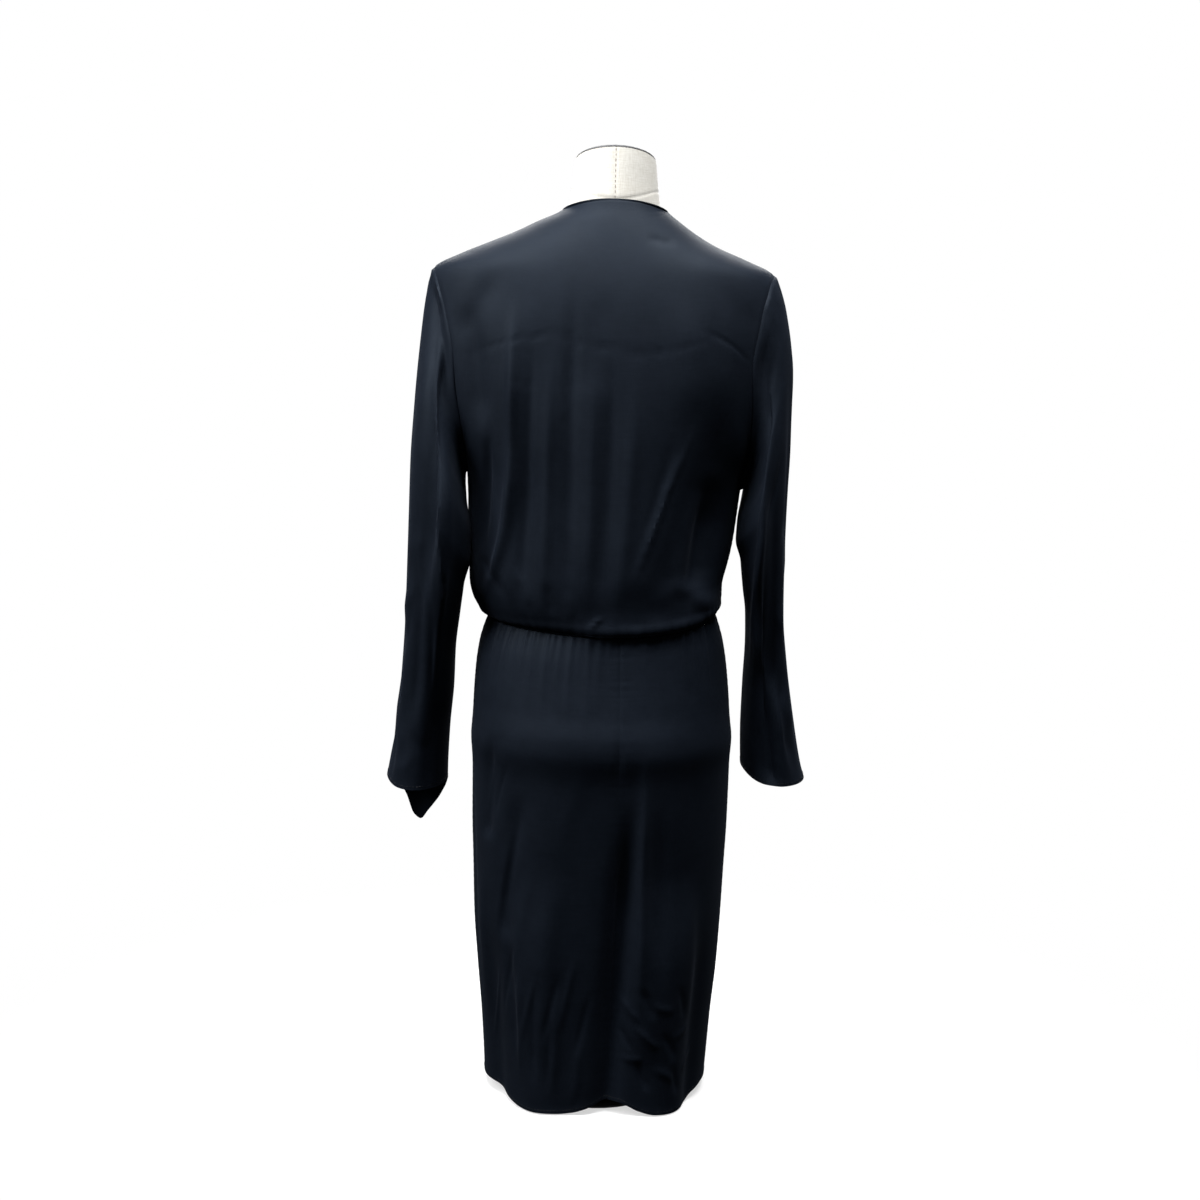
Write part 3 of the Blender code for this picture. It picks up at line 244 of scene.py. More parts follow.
# %% Armholes, free edges and hems
ARM_CUT = curves(
    "inset_left inset_right front_extra",
    (0, 0, 0, 0), (100, 8, 6, 2), (290, 23, 23.5, 5), (600, 30.5, 39.5, 8), (800, 21.7, 31, 6),
    (940, 10, 15.5, 1), (1000, 0, 0, 0))
FRONT_EDGE = curves(
    "over under",
    (580, 86, -86), (620, 78, -78), (700, 57, -57), (780, 30, -30), (860, -2, 2), (930, -30, 30),
    (1000, -52, 50), (1058, -64, 62))
HEM_DROP = curves(
    "left right",
    (0, 0, 0), (60, 6, 3), (110, 4, 6), (180, 0, -4), (217, 23, -6), (236, 41, -4),
    (258, 61, -2), (273, 73, 0), (286, 67, 1), (302, 40, 2), (330, 12, 1), (360, 0, 0), key=1)
HEM_RISE = turn_curve(
    (-180, -2), (-150, 1), (-115, 3), (-90, 6), (-73, 6.5), (-60, 1), (-52, -5.8), (-38, -6.2),
    (-28, -5.8), (-20, -1), (-15, 5), (-11, 8.5), (-5, 8), (2, 0.5), (9, -4.5), (16, -6),
    (26, -6), (36, -5), (46, -1.5), (55, 4), (69, 6.5), (90, 4), (130, 3), (180, -2))
BLOUSE_DROOP = turn_curve(
    (-180, 0.5), (-90, 1), (-30, 0.5), (0, 1), (30, 3), (60, 4.5), (90, 4), (135, 1), (180, 0.5))
BLOUSING_REACH = 0.010
print("lowest point of the left cuff below its middle:", float(HEM_DROP["left"](273)))

# %% [markdown]
# ## Large folds
#
# Cloth that is held at the shoulders and the waist hangs in soft vertical folds. Each is
# a ridge, or a trough where its rise is negative, along a line from one place to
# another, and it fades at both ends. The turn is in degrees from the centre back towards
# the wearer's left, and on a sleeve it goes round the arm. These are the folds that the
# CAD solids have too.

# %% The folds that the solids share
FOLD_FULL_FROM = 0.30
FOLD_FULL_TO = 0.85
Fold = namedtuple("Fold", "turn height low_turn low_height width rise")


def fold_table(*rows):
    """Folds from rows in which turns and widths are in degrees, the rest in thousandths."""
    return [Fold(turn, height / 1000, low_turn, low_height / 1000, width, rise / 1000)
            for turn, height, low_turn, low_height, width, rise in rows]


BACK_FOLDS = fold_table(
    (46, 840, 44, 600, 5, 3.5), (35, 850, 33, 600, 4.5, -3.5), (25, 860, 24, 600, 4.5, 3),
    (17, 840, 16, 600, 3.5, -3), (10, 850, 10, 600, 3.5, 3), (1, 860, 0, 610, 4, -3.5),
    (-8, 860, -9, 610, 4.5, 3), (-34, 800, -16, 620, 4, 3.5), (-42, 790, -26, 620, 6, -3.5))
FRONT_FOLDS = fold_table(
    (112, 800, 118, 600, 6, -3), (128, 820, 134, 600, 6, 3.5), (-112, 800, -120, 600, 6, -3),
    (-128, 840, -140, 600, 6, 3.5), (-150, 800, -168, 600, 6, -3), (-166, 790, -186, 600, 5, 3))
SKIRT_FOLDS = fold_table(
    (-12.5, 400, -3, -100, 5, -12), (-20.5, 470, -21, 50, 7, 4), (36, 400, 44, 200, 5, -4),
    (53, 460, 58, 320, 5, -4), (26, 300, 27, -100, 14, 11), (-30, 300, -36, -100, 15, 15),
    (57, 240, 57, -100, 9, -6), (-54, 240, -53, -100, 8, -5), (112, 440, 108, -80, 9, -5),
    (172, 420, 178, -100, 9, -4.5), (196, 440, 200, -80, 9, 4), (232, 400, 228, -80, 9, -5))
SLEEVE_FOLDS = fold_table(
    (48, 120, 40, 950, 13, 4), (82, 200, 74, 900, 13, -5), (118, 150, 112, 960, 15, 4),
    (228, 180, 236, 900, 14, -4.5), (285, 150, 280, 960, 15, 4), (322, 200, 318, 900, 13, -4.5))


def around(turn):
    """The same direction, between -180 and 180 degrees."""
    return (turn + 180.0) % 360.0 - 180.0


def fold_rise(folds, turn, height):
    total = 0.0
    for fold in folds:
        run = (height - fold.height) / (fold.low_height - fold.height)
        middle = fold.turn + (fold.low_turn - fold.turn) * run
        fade = smooth_step(0.0, FOLD_FULL_FROM, run) * smooth_step(1.0, FOLD_FULL_TO, run)
        total = total + fold.rise * fade * np.exp(-(around(turn - middle) / fold.width) ** 2)
    return total


print("folds in the solids:",
      len(BACK_FOLDS + FRONT_FOLDS + SKIRT_FOLDS) + 2 * len(SLEEVE_FOLDS))

# %% [markdown]
# ## Creases
#
# A fold is wide and follows the figure. A crease is what handling and hanging leave in
# the cloth: narrow, a little bent, sharper on its crest than a fold, and never like its
# neighbour. Here a crease is a line between two places of a laid-open panel, with a bow
# to one side. Its profile falls from the crest as a bell whose point grows sharper with
# pinch. Placing each one by one, with its own width and rise, looks far more like cloth
# than noise does.

# %% The creases' own shape
FADE_IN = 0.40            # share of a crease's length over which it rises
FADE_OUT = 0.34           # and over which it dies out
Crease = namedtuple("Crease", "across height low_across low_height width rise bow pinch")


def crease_table(*rows):
    """Creases from rows in thousandths, mostly millimetres; pinch is a plain number."""
    return [Crease(*(round(v / 1000, 7) for v in row[:-1]), row[-1]) for row in rows]


def crease_rise(creases, across, height):
    """Height of all creases at places of a laid-open panel."""
    total = 0.0
    for crease in creases:
        start = np.array((crease.across, crease.height))
        along = np.array((crease.low_across, crease.low_height)) - start
        length = math.hypot(*along)
        along = along / length
        run = ((across - start[0]) * along[0] + (height - start[1]) * along[1]) / length
        aside = (across - start[0]) * -along[1] + (height - start[1]) * along[0]
        aside = aside - crease.bow * 4 * run * (1 - run)
        bell = np.exp(-(np.abs(aside) / crease.width) ** (2.0 / crease.pinch))
        fade = smooth_step(0.0, FADE_IN, run) * smooth_step(1.0, 1.0 - FADE_OUT, run)
        total = total + crease.rise * bell * fade
    return total


sample_creases = crease_table((0, 100, 0, 0, 5, 1, 0, 1.0))
print("rise on its crest:", float(crease_rise(sample_creases, 0.0, 0.06)))

# %% [markdown]
# ## From a grid of points to a sheet of cloth
#
# Every panel is first a grid of points on its outer face. The way across and the way
# down at each point give its normal by a cross product. Creases move the points along
# that normal, and a second layer of points behind the first gives the cloth its
# thickness. The sheet is then closed round its edge, so that it is a real, thin solid.
#
# The UV map holds each point's distance along the cloth, in metres. A weave drawn on it
# keeps its scale and follows every fold.

# %% Grids, normals and distances
CLOTH_THICKNESS = 0.0009


def grid_normals(points, closed):
    """Outward normals. Rows run down; the columns of a tube run the other way round the
    body than those of an open panel."""
    if closed:
        across = np.roll(points, -1, axis=1) - np.roll(points, 1, axis=1)
    else:
        across = np.gradient(points, axis=1)
    down = np.gradient(points, axis=0)
    normals = unit(np.cross(across, down))
    return normals if closed else -normals


def lengths(points, axis):
    """Distance along a grid's lines from their start."""
    steps = np.linalg.norm(np.diff(points, axis=axis), axis=-1)
    start = np.zeros_like(np.take(steps, [0], axis=axis))
    return np.concatenate((start, np.cumsum(steps, axis=axis)), axis=axis)


def raised(points, rise, closed=False):
    """The grid with each point moved along its normal."""
    return points + grid_normals(points, closed) * np.asarray(rise)[..., None]


def grid_faces(rows, count, closed, offset, flipped):
    """Four-sided faces of one layer of a sheet."""
    first = np.arange(rows - 1)[:, None] * count
    column = np.arange(count if closed else count - 1)[None, :]
    after = (column + 1) % count
    corners = [first + column, first + after, first + count + after, first + count + column]
    faces = np.stack(corners, axis=-1).reshape(-1, 4) + offset
    return faces[:, ::-1] if flipped else faces


def edge_faces(line, offset):
    """Faces that join a line of the outer layer to the same line of the inner one."""
    first, second = line[:-1], line[1:]
    return np.stack((second, first, first + offset, second + offset), axis=-1)


# %% Meshes
SHARP_FROM = 50           # degrees from which a bend of a sheet is drawn as an edge
GRIDS = {}                # each sheet's grid, by the name of the CAD piece it stands for


def ring(grid):
    """A grid with its first column once more at its end."""
    return np.concatenate((grid, grid[:, :1]), axis=1)


def mesh_item(name, vertices, faces, sharp=None):
    """A smooth mesh in the scene, with sharp edges from a bend in degrees."""
    mesh = bpy.data.meshes.new(name)
    mesh.from_pydata(vertices.reshape(-1, 3).tolist(), [], faces)
    mesh.shade_smooth()
    if sharp:
        mesh.set_sharp_from_angle(angle=math.radians(sharp))
    return add_item(name, mesh)


def corner_vertices(mesh):
    """The vertex at each corner of each face, in the order that a UV map has."""
    corner = np.empty(len(mesh.loops), dtype=np.int32)
    mesh.loops.foreach_get("vertex_index", corner)
    return corner


def set_cloth_map(mesh, across, down):
    layer = mesh.uv_layers.new(name="cloth")
    layer.data.foreach_set("uv", np.stack((across, down), axis=-1).astype(np.float32).ravel())


def map_sheet(mesh, points, closed):
    """UVs are distances along the cloth; on a tube the last column closes the ring."""
    rows, count = points.shape[:2]
    whole = ring(points) if closed else points
    across, down = lengths(whole[rows // 2][None], 1)[0], lengths(whole, 0)
    row, column = divmod(corner_vertices(mesh) % (rows * count), count)
    if closed:
        at_end = np.repeat(column.reshape(-1, 4).max(axis=1) == count - 1, 4)
        column = np.where(at_end & (column == 0), count, column)
    set_cloth_map(mesh, across[column], down[row, column])


def add_sheet(node, points, closed=False):
    """A closed thin sheet behind a grid of points, with a UV map in metres."""
    rows, count = points.shape[:2]
    inner = points - grid_normals(points, closed) * CLOTH_THICKNESS
    size = rows * count
    index = np.arange(size).reshape(rows, count)
    if closed:
        index = ring(index)
    rims = [edge_faces(index[0], size), edge_faces(index[-1][::-1], size)]
    if not closed:
        rims += [edge_faces(index[::-1, 0], size), edge_faces(index[:, -1], size)]
    faces = np.concatenate([grid_faces(rows, count, closed, 0, False),
                            grid_faces(rows, count, closed, size, True)] + rims)
    faces = faces if closed else faces[:, ::-1]
    both = np.concatenate((points, inner))
    item = mesh_item("dress_" + node, both, faces.tolist(), SHARP_FROM)
    map_sheet(item.data, points, closed)
    GRIDS[node] = points
    print(item.name, len(item.data.vertices), "points,",
          round(outer_area(ring(points) if closed else points), 3), "square metres")
    return item


def capped_tube(name, grid, sharp):
    """A tube of rings with its two ends closed."""
    rows, count = grid.shape[:2]
    faces = grid_faces(rows, count, True, 0, False).tolist()
    faces.append(list(range(count))[::-1])
    faces.append([(rows - 1) * count + i for i in range(count)])
    return mesh_item(name, grid, faces, sharp)


def outer_area(points):
    """Area of a grid of points, in square metres."""
    one = points[1:, 1:] - points[:-1, :-1]
    two = points[1:, :-1] - points[:-1, 1:]
    return float(np.linalg.norm(np.cross(one, two), axis=-1).sum() / 2)


def relaxed(points, times):
    """The grid with its points drawn towards their neighbours, which takes the kinks
    out of its curvature; its first and last rows stay where they are."""
    for _ in range(times):
        down = (points[:-2] + points[2:] + 2 * points[1:-1]) / 4
        points = np.concatenate((points[:1], down, points[-1:]))
        middle = points[1:-1]
        points[1:-1, 1:-1] = (middle[:, :-2] + middle[:, 2:] + 2 * middle[:, 1:-1]) / 4
    return points


flat_grid = stack(np.linspace(0, 1, 5)[None, :], 0.0, np.linspace(1, 0, 5)[:, None])
print("area of a plain square metre:", outer_area(flat_grid))

# %% [markdown]
# ## Points of the bodice
#
# The bodice is a height field round the body: for a place across and a height, the
# section tells how deep the cloth lies. Near the waist the height itself is changed,
# because the seam rises at the sides and the blousing sags over it.

# %% Bodice surface
WAIST_EASE = turn_curve(
    (-180, 0), (-84, 0), (-62, 5), (-42, 10.5), (-22, 12.5), (3, 12.5), (11, 8.8), (19, 4.8),
    (30, 2.2), (50, 0), (180, 0))
EASE_AT = 0.578
EASE_REACH = 0.0165
LIP = 0.21                # the bodice hangs over the casing by this share of the ease
LIP_RISE = 0.75           # and stands out by this share of what hangs over
LIP_REACH = 0.0065


def half_width(shape, x, height):
    return np.where(x >= 0, shape["left"](height), shape["right"](height))


def turn_at(shape, x, height, facing):
    """Degrees from the centre back towards +X, up to 180 at the front."""
    share = np.clip(x / half_width(shape, x, height), -1.0, 1.0)
    angle = np.degrees(np.arcsin(share))
    if facing > 0:
        return angle
    return np.where(angle >= 0, 180.0 - angle, -180.0 - angle)


def waist_lift(turn):
    side = np.sin(np.radians(turn)) ** 2
    front = np.maximum(0.0, -np.cos(np.radians(turn))) ** 2
    at_side = np.where(turn % 360.0 < 180.0, WAIST_LIFT_LEFT, WAIST_LIFT_RIGHT)
    return side * at_side + front * WAIST_LIFT_FRONT


def settle(turn, height):
    """Height of a bodice point once the waist has risen and the blousing sagged."""
    above = np.maximum(height - WAIST, 0.0) / BLOUSING_REACH
    sag = BLOUSE_DROOP(turn) * above * np.exp(1.0 - above)
    return height + waist_lift(turn) * smooth_step(BODICE_LEVEL_FROM, WAIST, height) - sag


def waist_ease(turn, height):
    """How far the dressed waist stands off the drawn-in one, in the middle of the back."""
    apart = (height - EASE_AT) / EASE_REACH
    return WAIST_EASE(around(turn)) * np.exp(-np.where(apart > 0, apart ** 2, -apart))


def bodice_point(x, height, facing, folds, inward=0.0):
    turn = turn_at(BODICE, x, height, facing)
    half = half_width(BODICE, x, height)
    full = BODICE["back" if facing > 0 else "front"](height)
    share = np.minimum(np.abs(x) / half, 1.0)
    depth = full * (1.0 - share ** SQUARENESS) ** (1.0 / SQUARENESS)
    out = unit(stack(x / half ** 2, facing * depth / full ** 2, 0.0))
    lip = LIP * WAIST_EASE(around(turn)) * np.exp(-((height - WAIST) / LIP_REACH) ** 2)
    rise = fold_rise(folds, turn, height) + waist_ease(turn, height) + LIP_RISE * lip - inward
    return stack(x, facing * depth, settle(turn, height) - lip) + out * rise[..., None]


def armhole_x(height, side, facing):
    """Distance of the armhole's edge from the centre."""
    part = (height - UNDERARM[side]) / (SHOULDER_TIP - UNDERARM[side])
    inset = ARM_CUT["inset_" + SIDE[side]](part)
    if facing < 0:
        inset = inset + ARM_CUT["front_extra"](part)
    return BODICE[SIDE[side]](height) - inset


def shoulder_height(x):
    """Height of the shoulder line, where the bodice is exactly this wide."""
    low = np.full(np.shape(x), SHOULDER_TIP)
    high = np.full(np.shape(x), NECK_POINT)
    for _ in range(40):
        middle = (low + high) / 2
        wide = half_width(BODICE, x, middle) > np.abs(x)
        low = np.where(wide, middle, low)
        high = np.where(wide, high, middle)
    return (low + high) / 2


def neckline_height(x):
    half = half_width(BODICE, x, NECK_POINT)
    return NECK_BACK - (NECK_BACK - NECK_POINT) * (x / half) ** 2


print("width over the shoulders:", float(BODICE["left"](0.99) + BODICE["right"](0.99)))

# %% [markdown]
# ## The bodice's grid
#
# The lines of a grid should run where the cloth bends: close together where a section
# turns the side, and gathered towards the shoulder seam, where the cloth goes over from
# upright to level. The rows follow the side seam up to the underarm and then fan into
# the armhole. A row number may be a fraction, so the same rule serves any fineness.

# %% Rows and columns of the bodice
LOW_ROWS = (0.0, 0.03, 0.08, 0.16, 0.28, 0.47, 0.72, 1.0)
LOW_LAST = len(LOW_ROWS) - 1
ARM_ROWS = 12
TOP_ROW = LOW_LAST + ARM_ROWS
EDGE_ROWS_HOLD = 6
EVEN_FROM = 6.0           # from this row on the columns go over to even spacing
EVEN_AT = 15.0
BODICE_RELAXED = 14       # how often a bodice grid is drawn smooth
BODICE_ROW_LIST = np.concatenate((np.linspace(0, LOW_LAST, 80)[:-1],
                                  np.linspace(LOW_LAST, TOP_ROW, 84)))


def low_part(row):
    """Part of the way from the waist to the underarm."""
    return np.interp(row, np.arange(len(LOW_ROWS)), LOW_ROWS)


def side_height(row, side):
    low = WAIST + low_part(row) * (UNDERARM[side] - WAIST)
    turn = np.pi * (TOP_ROW - row) / ARM_ROWS
    return np.where(row <= LOW_LAST, low, ring_height(turn, side))


def ring_height(turn, side):
    """Height of the armhole's edge at a turn round it, 0 at the shoulder tip."""
    return SHOULDER_TIP - (SHOULDER_TIP - UNDERARM[side]) * (1 - np.cos(turn)) / 2


def side_width(row, side, facing):
    height = side_height(row, side)
    low = BODICE[SIDE[side]](height)
    return np.where(row <= LOW_LAST, low, armhole_x(height, side, facing))


def row_height(row, across, top):
    """Height of a grid point, between -1 at the right edge and 1 at the left."""
    underarm = (UNDERARM[1] + UNDERARM[-1]) / 2
    underarm = underarm + across * (UNDERARM[1] - UNDERARM[-1]) / 2
    low = WAIST + low_part(row) * (underarm - WAIST)
    from_top = np.clip((TOP_ROW - row) / ARM_ROWS, 0.0, 1.0)
    at_edge = (1 - np.cos(np.pi * from_top)) / 2
    edge_share = np.abs(across) ** EDGE_ROWS_HOLD
    share = at_edge * edge_share + from_top ** 2 * (1 - edge_share)
    return np.where(row <= LOW_LAST, low, top - share * (top - underarm))


def spread(share, row):
    """Part of the half width at a share of the columns."""
    even = smooth_step(EVEN_FROM, EVEN_AT, row)
    return np.sin(share * np.pi / 2) * (1 - even) + share * even


print("rows of the bodice:", len(BODICE_ROW_LIST))

# %% [markdown]
# ## Creases of the bodice
#
# The back has one long crease from the right shoulder blade to the waist, lit along its
# left side, a level line across the shoulder blades where the dress was once folded, and
# soft upright ones between the shoulder blades and the waist. The hidden front gets
# creases of the same kind: they run from the bust to the waist and along the crossing
# edges.

# %% Back and front creases
BACK_CREASES = crease_table(
    (160, 954, 144, 796, 13, -5.5, 1, 1), (121, 995, 181, 903, 15, -2.6, -1, 1),
    (-104, 1001, -158, 904, 16, -1.2, -6, 1), (103, 965, 100, 811, 20, 2.2, 6, 1),
    (-81, 970, -91, 816, 22, 2.6, -2, 1), (14, 978, 23, 845, 22, -1.4, 0, 1),
    (-34, 1028, -74, 1020, 4.6, -1.1, 0, 1), (60, 862, -10, 868, 2.2, -0.6, -1, 1.4),
    (118, 866, 76, 860, 2, -0.6, 1, 1.4), (62, 824, 38, 830, 1.7, -1.2, 0, 1.3),
    (60, 830, 40, 836, 1.8, 0.7, 1, 1.3), (-150, 940, -160, 770, 10, -1.2, 4, 1),
    (18, 584, 3, 604, 2.2, 2, 0, 1.4), (150, 664, 112, 604, 5, -1.8, -4, 1.1),
    (104, 655, 86, 600, 5, 1.8, -2, 1.1), (70, 640, 60, 598, 4, -1.4, -1, 1.1),
    (44, 630, 36, 596, 3.6, 1.2, -1, 1.2), (180, 888, 35, 920, 1.4, -0.9, -6, 1.5),
    (80, 920, -67, 901, 1.4, -0.8, 6, 1.5), (13, 898, -126, 922, 1.4, -0.9, 9, 1.5),
    (-94, 926, -160, 888, 1.8, -1.1, -7, 1.5), (135, 821, 144, 655, 5.5, -5, 0, 1),
    (110, 965, 110, 684, 7.4, 6.6, 0, 1.1), (112, 799, 145, 603, 6, 6.6, -14, 1.1),
    (88, 932, 97, 603, 6.2, -3.6, -1, 1), (68, 911, 72, 588, 6.6, 3.6, -1, 1),
    (42, 1011, 40, 608, 8.8, -4.4, 3, 1), (20, 912, 19, 591, 6.8, 3, -1, 1),
    (-2, 924, 5, 614, 6.6, -2.6, -2, 1), (-28, 892, -12, 592, 8, 2.8, -4, 1),
    (-77, 826, -34, 668, 5, -1.4, -4, 1), (-99, 820, -30, 633, 2.8, 3.4, 3, 1.4),
    (-125, 882, -98, 605, 22, -8.5, -8, 1), (-124, 766, -97, 598, 18, -14, -8, 1),
    (-74, 645, -132, 583, 11, 3.6, -4, 1), (161, 800, 160, 660, 9, 3.6, 0, 1))
OVER_CREASES = crease_table(
    (-120, 860, -80, 640, 7, 2.6, 6, 1.2), (-90, 840, -30, 620, 6, -2, 6, 1.1),
    (-70, 800, 10, 615, 6, 2.2, 8, 1.2), (-40, 780, 40, 610, 5, -1.6, 8, 1.1),
    (-140, 800, -120, 640, 8, -2.4, -4, 1), (-150, 930, -100, 860, 9, 2, 6, 1),
    (-80, 960, -50, 880, 8, -1.4, 3, 1), (-110, 720, -60, 700, 3, -1, 1, 1.3))
UNDER_CREASES = crease_table(
    (120, 860, 90, 640, 7, 2.6, -6, 1.2), (100, 830, 66, 640, 6, -1.8, -5, 1.1),
    (142, 800, 130, 630, 8, -2.4, 4, 1), (150, 940, 96, 860, 9, 2.2, -6, 1),
    (80, 960, 56, 900, 8, -1.4, -3, 1), (126, 720, 80, 700, 3, -1, -1, 1.3))
print("creases of the bodice:", len(BACK_CREASES + OVER_CREASES + UNDER_CREASES))

# %% [markdown]
# ## Fullness at the waist, and seams
#
# The bodice is wider than the elastic that draws it in, so its lower edge breaks into
# small tucks. They are uneven, so each gets its place, width, length and depth from a
# random generator with a fixed seed: the same tucks come out on every run.
#
# A sewn seam pulls its two edges a little inwards. That line, less than a millimetre
# deep, is what the eye reads as a seam.

# %% Tucks and seams
SEAM_DEPTH = 0.0007
SEAM_WIDTH = 0.0016
PUCKER_RISE = 0.00022
PUCKER_REACH = 0.012
PUCKER_FROM = 0.003       # full from this distance on
PUCKER_SPACING = 0.0075
PUCKER_DRIFT = 0.037      # the spacing wavers over this length
PUCKER_WAVER = 1.7
HELD_SIDE = 0.012         # creases die out this near to a side seam,
HELD_TOP = 0.010          # to the shoulder
HELD_WAIST = 0.004        # and to the waist
FULLNESS = turn_curve(
    (-180, 2), (-90, 2), (-38, 0.8), (8, 0.6), (22, 1.5), (60, 2), (180, 2))
FULLNESS_AT = 0.007       # metres above the waist seam
FULLNESS_WIDTH = 0.0060
TUCK_WIDTHS = (0.8, 1.5)  # each tuck is drawn between these shares of the usual one
TUCK_LENGTHS = (0.5, 1.4)
TUCK_RISES = (0.35, 1.0)
TUCK_STEPS = (0.7, 1.35)
TUCKS_PART = 3.4          # the usual width is this part of the spacing
TUCK_WIDENS = 0.8
Tuck = namedtuple("Tuck", "turn width length rise")


def make_tucks(seed, first, last, spacing, length, rise):
    """Uneven small gathers between two turns, for a seam that draws the cloth in."""
    chance = np.random.default_rng(seed)
    tucks = []
    turn = first
    while turn < last:
        tucks.append(Tuck(turn, chance.uniform(*TUCK_WIDTHS) * spacing / TUCKS_PART,
                          chance.uniform(*TUCK_LENGTHS) * length,
                          chance.uniform(*TUCK_RISES) * rise))
        turn += chance.uniform(*TUCK_STEPS) * spacing
    return tucks


def tuck_rise(tucks, turn, below):
    """below is the distance from the seam that gathers the cloth."""
    total = 0.0
    for tuck in tucks:
        run = np.clip(below / tuck.length, 0.0, 1.0)
        width = tuck.width * (1 + TUCK_WIDENS * run)
        bell = np.exp(-(around(turn - tuck.turn) / width) ** 2)
        total = total + tuck.rise * bell * (1 - run ** 2) ** 2
    return total


def seam_dent(distance):
    return -SEAM_DEPTH * np.exp(-(distance / SEAM_WIDTH) ** 2)


def pucker(distance, along):
    """Faint ripples square to a seam, which the thread's pull leaves beside it."""
    drift = PUCKER_WAVER * np.sin(2 * np.pi * along / PUCKER_DRIFT)
    uneven = np.sin(2 * np.pi * along / PUCKER_SPACING + drift)
    shown = np.exp(-distance / PUCKER_REACH) * smooth_step(0, PUCKER_FROM, distance)
    return PUCKER_RISE * uneven * shown


def blouse_fullness(turn, to_waist):
    """The cloth falls almost straight to the waist and only turns in just above it."""
    share = FULLNESS(around(turn))
    return share * np.exp(-((to_waist - FULLNESS_AT) / FULLNESS_WIDTH) ** 2)


def creases_held(to_side, from_top, to_waist):
    """1 where a bodice is free to crease, and 0 at its seams."""
    return (smooth_step(0.0, HELD_SIDE, to_side) * smooth_step(0.0, HELD_TOP, from_top)
            * smooth_step(0.0, HELD_WAIST, to_waist))


WAIST_TUCKS = make_tucks(11, -180, 180, 5.0, 0.030, 0.0016)
print("tucks above the waist:", len(WAIST_TUCKS))

# %% Bodice back
BACK_NECK_COLUMNS = 36
BACK_SHOULDER_COLUMNS = 56


def back_shares():
    """Places across the back; the two neck points fall on columns."""
    sides = []
    for side in (-1, 1):
        half = BODICE[SIDE[side]](SHOULDER_TIP)
        neck = BODICE[SIDE[side]](NECK_POINT)
        inner = np.linspace(0.0, neck, BACK_NECK_COLUMNS // 2 + 1)[:-1]
        outer = np.linspace(neck, half, BACK_SHOULDER_COLUMNS + 1)
        sides.append(side * np.concatenate((inner, outer)) / half)
    right, left = sides
    return np.concatenate((right[::-1][:-1], left))


def bodice_back_points():
    """Rows from the shoulders down, each from the wearer's left to the right."""
    row = BODICE_ROW_LIST[::-1][:, None]
    share = back_shares()[::-1][None, :]
    top_x = share * half_width(BODICE, share, SHOULDER_TIP)
    on_neck = np.abs(top_x) < half_width(BODICE, top_x, NECK_POINT) - 1e-9
    top = np.where(on_neck, neckline_height(top_x), shoulder_height(top_x))
    width = np.where(share >= 0, side_width(row, 1, 1), side_width(row, -1, 1))
    x = width * spread(share, row)
    height = row_height(row, share, top)
    return bodice_point(x, height, 1, BACK_FOLDS), x, height


def make_bodice_back():
    points, x, height = bodice_back_points()
    points = relaxed(points, BODICE_RELAXED)
    from_left, from_top = lengths(points, 1), lengths(points, 0)
    to_side = np.minimum(from_left, from_left[:, -1:] - from_left)
    to_waist = from_top[-1:] - from_top
    turn = turn_at(BODICE, x, height, 1)
    rise = crease_rise(BACK_CREASES, x, height) * creases_held(to_side, from_top, to_waist)
    rise += tuck_rise(WAIST_TUCKS, turn, to_waist) * smooth_step(0.0, HELD_SIDE / 2, to_side)
    rise += blouse_fullness(turn, to_waist) * smooth_step(0.0, HELD_WAIST, to_waist)
    rise += seam_dent(to_side) + seam_dent(from_top) + pucker(to_side, from_top)
    return add_sheet("bodice_back", raised(points, rise))


make_bodice_back()

# %% [markdown]
# ## The two fronts
#
# Each front runs from its free edge to its side seam, and the left one lies under the
# right one. Where they cross, the under front is drawn in by a few millimetres, so that
# the two sheets lie on each other without touching.

# %% Bodice fronts
FRONT_COLUMNS = 84
HELD_EDGE = 0.014         # creases die out this near to a free edge
TUCKS_HELD_EDGE = 0.016   # and tucks this near
FRONT_TUCKS = 0.6         # height of the front's tucks as a share of the back's


def bodice_front_points(side):
    """Rows from the shoulder down, from the free edge to the side seam; a right front
    is turned round, so that its faces point outwards too."""
    row = BODICE_ROW_LIST[::-1][:, None]
    share = np.linspace(0.0, 1.0, FRONT_COLUMNS + 1)[None, :]
    tip, neck = BODICE[SIDE[side]](SHOULDER_TIP), BODICE[SIDE[side]](NECK_POINT)
    top_x = neck + (tip - neck) * share
    top = shoulder_height(side * top_x)
    width = side_width(row, side, -1)
    free_edge = FRONT_EDGE["under" if side > 0 else "over"]
    edge = side * free_edge(row_height(row, 0.0, NECK_POINT))
    even = smooth_step(EVEN_FROM, EVEN_AT, row)
    start = np.arcsin(np.clip(edge / width, -1.0, 1.0))
    bent = width * np.sin(start + (np.pi / 2 - start) * share)
    straight = edge + (width - edge) * share
    x = side * (bent * (1 - even) + straight * even)
    x = np.where(row >= TOP_ROW, side * top_x, x)
    height = row_height(row, side * share, top)
    inward = np.zeros_like(x)
    if side > 0:
        over = FRONT_EDGE["over"](height)
        lap = LAP_UNDER + LAP_AT_WAIST * smooth_step(LAP_WAIST_TOP, WAIST, height)
        inward = lap * smooth_step(over + LAP_BODICE_NONE, over + LAP_BODICE_FULL, x)
    points = bodice_point(x, height, -1, FRONT_FOLDS, inward)
    return [grid[:, ::side] for grid in (points, x, height)]


